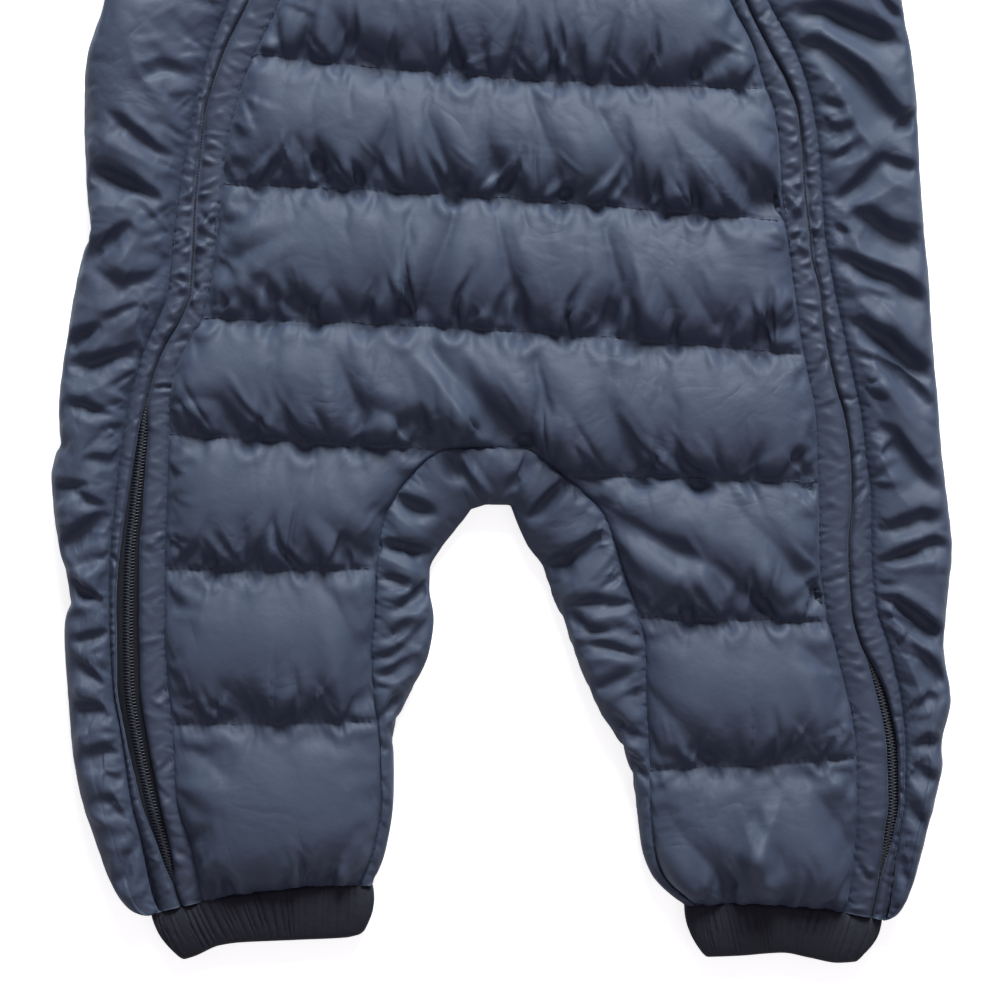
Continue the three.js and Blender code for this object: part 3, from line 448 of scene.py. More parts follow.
# Each stitch pulls the cloth down into the seam, and it rises a little between two stitches.
def stitchedIn(cut, near, run):
    along = cut[:, 0] * run[0] + cut[:, 1] * run[1]
    phase = 2 * np.pi * along / thread["pitch"] + 1.3 * np.sin(along / 7.3) + 0.8 * np.sin(along / 2.9)
    teeth = 0.5 + 0.5 * np.sin(phase)
    return -0.85 * np.exp(-((near / 0.8) ** 2)) - 0.55 * teeth * np.exp(-near / 2.2)


def pointValues(data, name, size):
    values = np.empty(size * len(data))
    data.foreach_get(name, values)
    return values.reshape(-1, size) if size > 1 else values


# The puffed cloth is refined, and its fine folds and puckers are pressed in.
def refine(entry):
    piece = entry["piece"]
    places = entry.get("places", entry["start"]).copy()
    if entry["lean"]:
        base = middleAt(places[:, 0] * 1000, (places[:, 1] - lay["crotchY"]) * 1000) + lay["seamUp"]
        places[:, 1] -= entry["lean"] * np.maximum(places[:, 2] - base * lay["mm"], 0)
    if entry["floor"]:
        places[:, 2] = np.maximum(places[:, 2], lay["floor"] * lay["mm"])
    piece.data.vertices.foreach_set("co", places.astype(np.float32).ravel())
    piece.data.update()
    finer = piece.modifiers.new("Finer", "SUBSURF")
    finer.levels = finer.render_levels = 1
    finer.boundary_smooth = "ALL"
    depsgraph = bpy.context.evaluated_depsgraph_get()
    mesh = bpy.data.meshes.new_from_object(piece.evaluated_get(depsgraph))
    piece.modifiers.clear()
    old = piece.data
    piece.data = mesh
    bpy.data.meshes.remove(old)
    mesh.name = piece.name
    found, normal = pointValues(mesh.vertices, "co", 3), pointValues(mesh.vertices, "normal", 3)
    cut = pointValues(mesh.attributes["cut"].data, "vector", 3)
    depth = (foldedIn(cut[:, :2], entry["marks"]) + fannedIn(cut[:, :2], entry["fans"])) * cut[:, 2]
    if "near" in mesh.attributes:
        near = pointValues(mesh.attributes["near"].data, "value", 1)
        found[:, 2] += stitchedIn(cut, near, entry["run"]) * lay["mm"]
    deepest = padding["deepest"]
    depth = np.where(depth < 0, deepest * np.tanh(depth / deepest), depth)
    found += normal * depth[:, None] * lay["mm"]
    found[:, 2] = np.maximum(found[:, 2], lay["least"] * lay["mm"])
    mesh.vertices.foreach_set("co", found.ravel())
    mesh.polygons.foreach_set("use_smooth", [True] * len(mesh.polygons))
    mesh.update()


# The gusset's stations run from the right cuff up its seam, over the crotch and down to the left cuff: the
# seam with the front and the outline, side by side.
def gussetStations(step):
    def leg(limb, low, high):
        y = np.linspace(low, high, 400)
        return np.stack([limb["seamAt"](y), y, limb["edgeXAt"](y), limb["edgeYAt"](y)], 1)

    right = leg(limbs["right"], limbs["right"]["seam"][-1][1], crotch["seam"][0][1])
    left = leg(limbs["left"], crotch["seam"][-1][1], limbs["left"]["seam"][-1][1])
    top = np.hstack([np.array(crotch["seam"], float), np.array(crotch["edge"], float)])
    top = np.stack([np.interp(np.linspace(0, 3, 61), range(4), top[:, k]) for k in range(4)], 1)
    return evenly(np.vstack([right, top[1:-1], left]), step)


# A quilted panel's points: rows follow its quilting lines, and columns run from its right edge to its left.
# plan gives its edges, its seams with the gusset and its lines; counts are the cells across each part.
def quiltGrid(plan):
    right, left, middle = plan["counts"]["right"], plan["counts"]["left"], plan["counts"]["middle"]
    cols = right + middle + left
    column = np.arange(cols + 1)
    corners = np.array(plan["crotch"], float)
    rightAt, leftAt = plan["edges"]
    forkRight, forkLeft = (limbs[name]["legLines"][0][0] for name in ("right", "left"))
    ends = rightAt(forkRight), leftAt(forkLeft)
    shareR, shareL = [(corners[k, 0] - ends[0]) / (ends[1] - ends[0]) for k in (0, -1)]
    share = np.interp(column, [0, right, right + middle, cols], [0, shareR, shareL, 1])
    local = np.where(column <= right, column / right, (cols - column) / left)
    isRight = column <= right + middle / 2
    forkX = np.interp(share, np.linspace(shareR, shareL, len(corners)), corners[:, 0])
    forkY = np.interp(share, np.linspace(shareR, shareL, len(corners)), corners[:, 1])
    for pick, edgeAt, y0, corner in (
        (column < right, rightAt, forkRight, corners[0]),
        (column > right + middle, leftAt, forkLeft, corners[-1]),
    ):
        forkY[pick] = mix(y0, corner[1], local[pick])
        forkX[pick] = mix(edgeAt(forkY[pick]), corner[0], local[pick])

    found = []
    for k, line in enumerate(bodyLines):
        upper = plan["top"](share) if k == 0 else quiltLine(line, share)
        lower = quiltLine(bodyLines[k + 1], share) if k + 1 < len(bodyLines) else forkY
        steps = plan["perChannel"] if k >= plan["hidden"] else plan["perHidden"]
        for t in np.arange(steps) / steps:
            rowY = mix(upper, lower, t)
            rowX = mix(rightAt(rowY), leftAt(rowY), share)
            if k + 1 == len(bodyLines):
                rowX = mix(rowX, forkX, t)
            found.append((rowX, rowY, t))
    forkRow = len(found)
    found.append((forkX, forkY, 0.0))
    for k in range(3):
        for t in np.arange(1, plan["perChannel"] + 1) / plan["perChannel"]:
            rowX, rowY = np.zeros(cols + 1), np.zeros(cols + 1)
            for name, pick in (("right", isRight), ("left", ~isRight)):
                limb, f = limbs[name], local[pick]
                edgeAt, seamAt = plan["edges"][name == "left"], plan["seams"][name]
                legLines = [*limb["legLines"]]
                legLines[0] = (legLines[0][0], corners[0 if name == "right" else -1, 1])
                upper = mix(legLines[k][0], legLines[k][1], f)
                if k < 2:
                    lower = mix(legLines[k + 1][0], legLines[k + 1][1], f)
                else:
                    lower = bowed(limb["hem"], mix(edgeAt(-173), seamAt(-169), f))
                rowY[pick] = mix(upper, lower, t)
                rowX[pick] = mix(edgeAt(rowY[pick]), seamAt(rowY[pick]), f)
            found.append((rowX, rowY, t % 1.0))
    x, y, within = (np.array(values) for values in zip(*found))
    cells = np.ones((len(x) - 1, cols), bool)
    cells[forkRow:, right : right + middle] = False
    edge = np.minimum(x - x[:, :1], x[:, -1:] - x)
    inseam = np.where(isRight, x[:, right : right + 1] - x, x - x[:, right + middle :][:, :1])
    edge[forkRow + 1 :] = np.minimum(edge, inseam)[forkRow + 1 :]
    pins = np.zeros(x.shape, bool)
    pins[within == 0] = pins[0] = pins[-1] = True
    pins[:, 0] = pins[:, -1] = True
    pins[forkRow:, right] = pins[forkRow:, right + middle] = True
    near = np.full(x.shape, 1e3)
    for r in np.nonzero(within == 0)[0]:
        apart = np.hypot(x - x[r], y - y[r])
        span = slice(max(0, r - plan["perChannel"]), r + plan["perChannel"] + 1)
        near[span] = np.minimum(near[span], apart[span])
    grid = {"x": x, "y": y, "within": within, "near": near, "edge": np.maximum(edge, 0)}
    grid.update({"cells": cells, "pins": pins, "forkRow": forkRow, "cols": (right, right + middle)})
    return grid


def quiltLine(line, share):
    a, b, c = line
    return a * (1 - share) * (1 - 2 * share) + 4 * b * share * (1 - share) + c * share * (2 * share - 1)


# The grid's quilting lines, part by part: row number and columns. There is nothing between the legs.
def quiltParts(grid):
    for r in np.nonzero(grid["within"] == 0)[0]:
        for n, part in enumerate(np.split(np.arange(grid["x"].shape[1]), grid["cols"])):
            if r <= grid["forkRow"] or n != 1:
                yield r, part


# Stitching pulls a quilting line a little up and down and to and fro.
def wobble(grid, z, seed, amount=1.0):
    count = grid["x"].shape[1]
    for r in np.nonzero(grid["within"] == 0)[0]:
        inside = smooth(0, 5, grid["edge"][r])
        sway = 0.45 * ripple(count, 3.3, seed + r) + 0.3 * ripple(count, 1.7, seed + 400 + r)
        grid["y"][r] += amount * sway * inside
        z[r] += amount * 0.9 * ripple(count, 4.5, seed + 800 + r) * inside


print("front")
front = {
    "perChannel": 21,
    "hidden": 3,  # the channels above the chest, which need fewer rows
    "perHidden": 12,
    "counts": {"right": 58, "middle": 25, "left": 55},
    "crown": 8.5,
    "lean": 0.28,  # how far the channels sag towards the feet
    "slack": 0.02,
    "pressure": 110,
    "bending": 0.08,
    "puckers": {"pitch": 17, "reach": (10, 32), "height": (-4.6, -2.0), "half": (1.6, 3.0)},
    "fansAbove": {"pitch": 19, "reach": (6, 15), "height": (1.1, 2.5)},
    "fansBelow": {"pitch": 16, "reach": (3, 7), "height": (0.35, 0.9)},
    "fansBeside": {"pitch": 17, "reach": (4, 10), "height": (0.8, 1.8)},
    "slants": {"pitch": 26, "start": (2, 16), "reach": (8, 20), "height": (0.5, 1.1), "half": (0.7, 1.2)},
    "edges": (limbs["right"]["innerAt"], limbs["left"]["innerAt"]),
    "seams": {name: limb["seamAt"] for name, limb in limbs.items()},
    "crotch": crotch["seam"],
    "top": lambda share: quiltLine(bodyLines[0], share),
    "folds": [
        ([(-73, 214), (-63, 197), (-52, 187)], 5, -4),
        ([(-21, 210), (-19, 187)], 4, -2.5),
        ([(25, 204), (29, 183)], 4, -2.5),
        ([(82, 181), (92, 190), (103, 197)], 4, -3),
        ([(-88, 160), (-76, 143)], 4, -3),
        ([(-80, 162), (-69, 134)], 4, -3),
        ([(-46, 164), (-55, 134)], 4.5, -3.5),
        ([(-33, 172), (-19, 134)], 4, -3.5),
        ([(-8, 162), (2, 132)], 4, -3),
        ([(10, 176), (22, 150), (27, 132)], 4.5, -3),
        ([(38, 174), (52, 148), (59, 130)], 4.5, -3),
        ([(72, 166), (92, 150), (109, 128)], 5, -5),
        ([(99, 152), (118, 126)], 4, -3),
        ([(-116, 114), (-101, 130)], 3.5, -2.5),
        ([(-115, 103), (-98, 112), (-84, 119)], 3.5, -3),
        ([(-109, 101), (-88, 85)], 3.5, -2.5),
        ([(-94, 103), (-80, 82)], 4, -3),
        ([(-72, 96), (-62, 80)], 4, -3),
        ([(-32, 84), (-26, 104), (-16, 130)], 4.5, -3.5),
        ([(-2, 126), (8, 80)], 4.5, -3),
        ([(42, 124), (50, 96), (44, 76)], 4.5, -3.5),
        ([(55, 108), (66, 74)], 3.5, 2.5),
        ([(76, 100), (90, 78)], 4, -2.5),
        ([(101, 78), (124, 76)], 4, -2.5),
        ([(-38, 76), (-20, 56), (-8, 44), (10, 26)], 6, -6),
        ([(-46, 74), (-28, 56), (-14, 40)], 3.5, 2.5),
        ([(-134, 48), (-118, 46), (-111, 32)], 4, -3),
        ([(-71, 68), (-59, 42)], 4.5, -3.5),
        ([(-58, 46), (-29, 33)], 4, -3),
        ([(13, 68), (20, 42)], 4.5, -3),
        ([(42, 52), (59, 14)], 4.5, -4),
        ([(59, 34), (86, 10)], 4.5, -3.5),
        ([(122, 38), (126, 10)], 4, -2.5),
        ([(-80, 2), (-66, -12), (-52, -24)], 4.5, -3.5),
        ([(-72, -34), (-62, -56), (-54, -80)], 5, -3.5),
        ([(-120, -70), (-106, -86)], 5, -2.5),
        ([(40, -4), (70, -16), (92, -23), (110, -42)], 4.5, -4),
        ([(30, 6), (54, -6), (76, -17)], 4.5, -3.5),
        ([(95, 4), (114, -14), (134, -38)], 4.5, -4),
        ([(122, -56), (136, -66), (147, -80)], 5, -3.5),
        ([(63, -78), (76, -90), (90, -108)], 5, -3),
        ([(67, -126), (80, -140), (97, -158)], 5, -3.5),
        ([(120, -118), (109, -143)], 3.5, 3),
        ([(99, -124), (112, -155)], 3.5, 3),
        ([(124, -110), (136, -126), (151, -147)], 5, -3.5),
        ([(-132, -100), (-116, -112)], 4, -2),
        ([(-84, -146), (-78, -160)], 4.5, -2.5),
        ([(-58, -132), (-70, -148)], 4.5, -2),
    ],
}
frontGrid = quiltGrid(front)


def makeFront():
    grid = frontGrid
    lowest = np.arange(len(grid["within"])) > len(grid["within"]) - front["perChannel"]
    skew = np.where(lowest, 2.0, 1.15)
    arc = (np.sin(np.pi * grid["within"] ** skew) ** 0.8)[:, None]
    crown = front["crown"] * np.where(lowest, 1.3, 1.0)[:, None]
    z = middleAt(grid["x"], grid["y"]) + lay["seamUp"] + crown * arc * (1 - np.exp(-grid["edge"] / 6))
    marks, pinched, fine = [], [], []
    for r, part in quiltParts(grid):
        line = np.stack([grid["x"][r, part], grid["y"][r, part]], 1)
        marks += puckers(line, (0, 1), 5000 + r, **front["puckers"])
        pinched += fans(line, (0, 1), 5200 + r, **front["fansAbove"])
        pinched += fans(line, (0, -1), 6200 + r, **front["fansBelow"])
        fine += slants(line, (0, 1), 5400 + r, **front["slants"])
    for column, away in ((0, (1, 0)), (-1, (-1, 0))):
        line = np.stack([grid["x"][:, column], grid["y"][:, column]], 1)
        pinched += fans(line, away, 5600 + column, **front["fansBeside"])
    flat = np.dstack([grid["x"], grid["y"]])
    press = (1 - np.exp(-grid["near"] / 2.5)) * (1 - np.exp(-grid["edge"] / 2.5))
    for line, half, height in front["folds"]:
        marks.append((sorted(line, key=lambda at: at[1]), 1.25 * half, 1.1 * height, "wedge"))
    z += (foldedIn(flat, marks) + 0.7 * fannedIn(flat, pinched)) * press
    wobble(grid, z, 100)
    return clothObject(
        "front_shell", np.dstack([grid["x"], grid["y"], z]), grid["cells"], grid["pins"], front,
        press=press * 0.6, near=np.minimum(grid["near"], grid["edge"] + 0.2), lean=front["lean"],
        marks=marks + fine, fans=pinched,
    )


frontCloth = makeFront()


# A side piece and the gusset go over the outline and back underneath. Their columns lie on top, then round
# the edge, then underneath. Both arrays that come back have a row for each width: how far out, and how
# high.
def foldSection(width, middle, under, plan):
    onTop, around, below = plan["columns"]
    width, middle, under = (np.asarray(v, float)[:, None] for v in (width, middle, under))
    lift = np.minimum(plan["crown"], lay["seamUp"] + width * 0.8)
    turned = np.minimum(plan["turnMost"], plan["turnShare"] * width)
    top, bottom = middle + lift, 0.8
    share = np.linspace(0, 1, onTop + 1)[None, :-1]
    flatAway = (width - turned) * share
    flatZ = middle + lay["seamUp"] + (lift - lay["seamUp"]) * (1 - np.exp(-flatAway / 5))
    turn = np.linspace(0, np.pi, around + 1)[None, :]
    turnAway = width - turned + turned * np.sin(turn) ** 0.9
    turnZ = (top + bottom) / 2 + (top - bottom) / 2 * np.cos(turn)
    share = np.linspace(0, 1, below + 1)[None, 1:]
    lowAway = width - turned + (turned - under) * share
    lowZ = bottom + (lay["backSeam"] - bottom) * smooth(0.55, 1, share) + 0 * width
    return np.hstack([flatAway, turnAway, lowAway]), np.hstack([flatZ, turnZ, lowZ])


# How far folds press into each column of such a piece: press on top, and less on the wall round the edge
def foldPress(press, plan, taper, over=0.0):
    columns = sum(plan["columns"]) + 1
    columnAt = np.arange(columns)
    widest = plan["columns"][0] + plan["columns"][1] // 2
    wall = smooth(widest, widest + taper, columnAt) * smooth(columns - 1, columns - 5, columnAt)
    beforeWall = (columnAt > plan["columns"][0]) & (columnAt <= widest)
    return press * plan["pressTop"], np.maximum(wall, over * beforeWall)


# The share of folds that is pressed in before the simulation, nothing along the seam or past the widest
# column
def onTopOnly(away, width, plan, margin):
    inward = np.maximum(width[:, None] - away, 0)
    inward = inward * (np.arange(away.shape[1]) <= plan["columns"][0] + plan["columns"][1] // 2)
    return (1 - np.exp(-away / 2.5)) * smooth(0, margin, inward)


side = {
    "columns": (26, 12, 9),
    "crown": 9.0,
    "turnShare": 0.4,  # how much of the width goes round the edge
    "turnMost": 7.0,
    "under": 20.0,  # how far the side goes back underneath
    "pitch": 1.9,
    "fuller": 2.8,  # what the fold takes off the width
    "slack": 0.01,
    "pressure": 25,
    "bending": 0.08,
    "pressTop": 0.4,
    "pressWall": 0.5,
    "puckers": {"pitch": 30, "reach": (8, 20), "height": (-2.0, -1.0), "half": (1.4, 2.4)},
    "edgePuckers": {"pitch": 10, "reach": (4, 9), "height": (-2.6, -1.0), "half": (1.4, 2.8)},
    "fans": {"pitch": 10, "reach": (3, 8), "height": (0.6, 1.5)},
    "folds": {
        "right": [
            ([(-129, 180), (-137, 183), (-143, 184), (-150, 180), (-158, 174)], 5, -3.6, "tuck"),
            ([(-136, 146), (-146, 149), (-154, 155), (-162, 161), (-171, 168)], 3.6, -4.2, "tuck"),
            ([(-142, 128), (-150, 131), (-158, 136), (-168, 140), (-180, 141)], 5.5, -6.5, "tuck"),
            ([(-142, 116), (-150, 122), (-158, 129)], 3, -2.2, "tuck"),
            ([(-156, 119), (-165, 113), (-173, 107), (-181, 101)], 4.6, -5.5, "tuck"),
            ([(-142, 97), (-151, 95), (-160, 93), (-168, 96), (-177, 101)], 5, -4.2, "tuck"),
            ([(-147, 82), (-155, 84), (-163, 81), (-172, 77)], 2.6, -2.8, "tuck"),
            ([(-169, 77), (-179, 71), (-188, 65)], 4, -5, "tuck"),
            ([(-153, 68), (-164, 63), (-176, 60), (-189, 58)], 4.6, -5.2, "tuck"),
            ([(-161, 37), (-170, 39), (-177, 43), (-183, 43), (-188, 37)], 3, -3, "tuck"),
            ([(-162, 18), (-170, 20), (-178, 19)], 2.6, -2.2, "tuck"),
            ([(-165, 33), (-172, 27), (-178, 22)], 3, -1.6),
            ([(-174, 9), (-184, 8), (-193, 7)], 3, -3, "tuck"),
            ([(-165, -1), (-174, 2), (-182, 6)], 2.2, -2.8, "tuck"),
            ([(-166, -2), (-176, -10), (-183, -16), (-191, -20)], 6, -6, "tuck"),
            ([(-166, -22), (-173, -23), (-180, -27)], 2.6, -2),
            ([(-167, -41), (-173, -38), (-180, -34), (-185, -30)], 3, -5.5, "tuck"),
            ([(-167, -54), (-173, -55), (-182, -59)], 2.6, -2.8, "tuck"),
            ([(-167, -77), (-173, -71), (-183, -65)], 3.4, -3.4, "tuck"),
            ([(-164, -90), (-171, -86), (-184, -86)], 4.6, -4.5, "tuck"),
            ([(-161, -106), (-168, -103), (-179, -109)], 4, -2.8, "tuck"),
            ([(-159, -117), (-168, -113)], 2.4, -2),
            ([(-157, -134), (-163, -128), (-169, -121)], 3.4, -2.6, "tuck"),
            ([(-153, -142), (-158, -152), (-160, -164)], 3, -2.2),
            ([(-118, 214), (-138, 222), (-172, 214)], 6, -3.6, "tuck"),
            ([(-104, 238), (-124, 232), (-150, 240), (-172, 236)], 6, -5, "tuck"),
            ([(-97, 262), (-120, 268), (-168, 256)], 5, -4, "tuck"),
            ([(-84, 292), (-110, 286), (-148, 302)], 6, -4.5, "tuck"),
            ([(-72, 326), (-96, 334), (-140, 320)], 6, -4, "tuck"),
        ],
        "left": [
            ([(122, 206), (137, 209), (150, 203), (161, 198), (175, 192)], 5, -6.5, "tuck"),
            ([(157, 216), (166, 208), (176, 201)], 2.6, -4, "tuck"),
            ([(126, 196), (134, 194), (143, 189), (152, 182), (158, 173), (163, 166),
              (170, 160), (179, 152)], 5.5, -6, "tuck"),
            ([(134, 171), (140, 169), (147, 166)], 2.4, -2.2, "tuck"),
            ([(137, 160), (144, 158), (151, 160)], 3, -2.6, "tuck"),
            ([(138, 145), (146, 149), (154, 154)], 2.6, -3.2, "tuck"),
            ([(139, 125), (147, 132), (154, 138), (161, 145), (167, 151)], 4.2, -5, "tuck"),
            ([(166, 158), (172, 163), (180, 168)], 3, -3.6, "tuck"),
            ([(159, 147), (169, 143), (180, 140)], 3.4, -3.2, "tuck"),
            ([(145, 124), (156, 121), (163, 115), (170, 112), (184, 110)], 6.5, -6, "tuck"),
            ([(140, 119), (148, 113)], 2, -2.4, "tuck"),
            ([(139, 106), (148, 103), (158, 98.5), (168, 94), (176, 87.5), (185, 81)], 4.6, -6.8, "tuck"),
            ([(150, 92), (158, 88), (167, 85)], 3, -2.6, "tuck"),
            ([(145, 77), (153, 76.5), (158, 72.5), (164, 70), (169, 64), (177, 57),
              (187, 50)], 5, -7.5, "tuck"),
            ([(149, 62.5), (154, 63), (160, 60), (167, 56), (173, 50), (179, 44),
              (188, 37)], 3.8, -4.2, "tuck"),
            ([(152, 47), (158, 46), (164, 44)], 1.9, -2.2, "tuck"),
            ([(157, 35), (166, 30), (172, 20), (178, 12), (188, 3)], 4.6, -4.8, "tuck"),
            ([(158, 18), (164, 24), (170, 27)], 1.9, -2, "tuck"),
            ([(158, -12), (168, -8), (178, -5), (190, -8)], 4, -4.2, "tuck"),
            ([(158, -25), (165, -22), (175, -18), (183, -16), (192, -18)], 3, -5, "tuck"),
            ([(158, -39), (167, -40), (175, -46), (182, -52), (192, -58)], 3.4, -7, "tuck"),
            ([(160, -46), (167, -48), (173, -51), (178, -54)], 2, -2.8, "tuck"),
            ([(172, -58), (179, -64), (185, -72), (192, -82)], 4, -4.6, "tuck"),
            ([(171, -88), (177, -84), (181, -81), (187, -84)], 2.6, -2.6, "tuck"),
            ([(173, -103), (180, -99), (188, -101)], 3, -4, "tuck"),
            ([(173, -109), (180, -114), (187, -118)], 3.4, -3, "tuck"),
            ([(172, -127), (178, -134), (182, -141)], 2.6, -2.6),
            ([(168, -150), (172, -158), (174, -168)], 2.6, -2.4),
            ([(112, 232), (136, 226), (172, 232)], 5, -4, "tuck"),
            ([(102, 252), (130, 246), (168, 258)], 5, -5, "tuck"),
            ([(86, 286), (112, 280), (150, 296)], 6, -4.5, "tuck"),
            ([(72, 322), (96, 330), (140, 318)], 6, -4, "tuck"),
        ],
    },
}


def sideUnder(y):
    return side["under"] * (1 - smooth(236, 271, np.asarray(y, float))) + 0.4


def makeSide(name):
    limb = limbs[name]
    sign, onTop = limb["sign"], side["columns"][0]
    underarm, shoulder = arm["underarm"][1], arm["shoulder"][1]
    lowest = bowed(limb["hem"], limb["outerAt"](-171))
    y = np.linspace(shoulder + 9, lowest, round((shoulder + 9 - lowest) / side["pitch"]))
    y = np.sort(np.append(y, underarm))[::-1]
    start = limb["outerAt"](y)
    outline = np.where(y > underarm, sign * armholeAt(np.minimum(y, shoulder)), limb["outlineAt"](y))
    width = np.abs(outline - start)
    # The fold round the edge ends at the armhole, where the side lies flat and comes down to its seam.
    tuck = 1 - smooth(225, 271, y)
    fuller = side["fuller"] * tuck * smooth(-172, -125, y) * (1 - 0.6 * smooth(190, 215, y))
    width += fuller
    away, z = foldSection(width, middleAt(start, y), sideUnder(y) + fuller, side)
    flat = np.linspace(0, 1, onTop + 1)[None, :] * width[:, None]
    upper, top = y > underarm - 45, onTop + 1
    away[upper, :top] = mix(flat, away[:, :top], tuck[:, None])[upper]
    seamRise = np.exp(-(width[:, None] - away[:, :top]) / 7) * (1 - tuck[:, None])
    z[:, :top] -= (z[:, :top] - middleAt(start, y)[:, None] - lay["seamUp"]) * seamRise
    x = start[:, None] + sign * away
    rowY = np.repeat(y[:, None], away.shape[1], 1)
    # The last rows swing onto the seam with the cuff, and the first ones onto the shoulder and the neck.
    hemY = bowed(limb["hem"], x)
    down = np.clip((-135 - rowY) / (-135 - lowest), 0, 1)
    rowY = mix(rowY, hemY, down**1.5)
    up = np.clip((rowY - 330) / (rowY[0, 0] - 330), 0, 1)
    rowY = mix(rowY, topEdge(x, neck["front"] + 10), up)
    seamLine = np.stack([start, y], 1)
    marks = side["folds"][name] + puckers(seamLine, (sign, 0), 7000 + sign, **side["puckers"])
    pinched = fans(seamLine, (sign, 0), 7100 + sign, **side["fans"])
    flatPlace = np.dstack([x, rowY])
    press = onTopOnly(away, width, side, 5)
    z = z + 0.75 * (foldedIn(flatPlace, marks) + fannedIn(flatPlace, pinched)) * press
    z -= 2.5 * smooth(0, 12, -162 - rowY) * (z > 9) * (1 - np.exp(-away / 6))
    # At the shoulder the side comes down to its seam with the back.
    beforeSeam = topEdge(x, neck["front"] + 10) - rowY
    z = mix(z, lay["middle"] + 0.3, smooth(20, 0, beforeSeam) * (rowY > underarm))
    edge = np.stack([outline, y], 1)[y < underarm]
    marks += puckers(edge, (-sign, 0), 7200 + sign, **side["edgePuckers"])
    press, wall = foldPress(press, side, 3, 0.14)
    wall = side["pressWall"] * wall * (rowY < underarm - 6) * smooth(0, 8, rowY - hemY)
    cells = np.ones((len(y) - 1, x.shape[1] - 1), bool)
    cells[y[1:] >= underarm - 0.01, onTop:] = False
    pins = np.zeros(x.shape, bool)
    pins[0] = pins[-1] = pins[:, 0] = pins[:, -1] = True
    pins[y >= underarm - 0.01, onTop] = True
    z[-1] = np.where(z[-1] > 8, lay["cuffMiddle"] + lay["seamUp"], np.maximum(z[-1], 3.0))
    return clothObject(
        f"side_{name}_shell", np.dstack([x, rowY, z]), cells, pins, side, flip=sign < 0,
        press=np.maximum(press, wall), near=np.where(np.arange(x.shape[1]) <= onTop, away, lay["farAway"]),
        run=(0.3, 1), marks=marks, fans=pinched,
    )


gusset = {
    "columns": (8, 22, 7),
    "crown": 4.0,
    "turnShare": 0.95,
    "turnMost": 27,
    "under": 14.0,
    "pitch": 1.7,
    "slack": 0.015,
    "pressure": 50,
    "bending": 0.08,
    "pressTop": 0.65,
    "pressWall": 0.5,
    "puckers": {"pitch": 20, "reach": (5, 12), "height": (-1.8, -0.9), "half": (1.2, 2.0)},
    "edgePuckers": {"pitch": 11, "reach": (4, 8), "height": (-2.2, -0.9), "half": (1.4, 2.6)},
    "fans": {"pitch": 11, "reach": (3, 8), "height": (0.5, 1.2)},
    "folds": [
        ([(-25, 23), (-20, 15), (-14, 16)], 2.5, -3, "tuck"),
        ([(-20, 25), (-12, 14), (-5, 5)], 1.6, 2),
        ([(12, 24), (9, 14), (1, 6)], 3, -3.2, "tuck"),
        ([(-51, 5), (-44, 3.5), (-36, 0), (-27, -4)], 3.4, -4.2, "tuck"),
        ([(-54, -17), (-42, -17.5), (-28, -20)], 3.6, -4.8, "tuck"),
        ([(-56, -32), (-46, -31), (-36, -33)], 1.9, -2.6, "tuck"),
        ([(-56, -36), (-46, -36), (-37, -34)], 1.5, -1.6),
        ([(-47, -46), (-38, -40), (-29, -31)], 3, -4.6, "tuck"),
        ([(-50, -58), (-43, -53), (-37, -47)], 2.4, -3, "tuck"),
        ([(-57, -66), (-46, -63), (-37, -56), (-29, -46)], 2.2, -3, "tuck"),
        ([(-53, -73), (-45, -70), (-35, -61)], 2.6, -2.4, "tuck"),
        ([(-52, -92), (-46, -86), (-41, -79)], 2.6, -2.6, "tuck"),
        ([(29, 12), (20, 3), (11, -8)], 3, -4.2, "tuck"),
        ([(47, -10), (38, -17), (28, -23), (17, -27)], 5, -6, "tuck"),
        ([(60, -41), (50, -42), (38, -40), (26, -44)], 3, -3.6, "tuck"),
        ([(48, -54), (38, -52), (27, -44)], 2.8, -3.2, "tuck"),
        ([(64, -66), (54, -62), (44, -59), (31, -58)], 2.2, -3, "tuck"),
        ([(57, -70), (48, -74), (38, -79)], 2.6, -2.2),
        ([(64, -100), (55, -96), (44, -88)], 3, -3.2, "tuck"),
        ([(64, -118), (58, -112), (53, -106)], 3, -2.4, "tuck"),
    ],
}
gussetLine = gussetStations(gusset["pitch"])


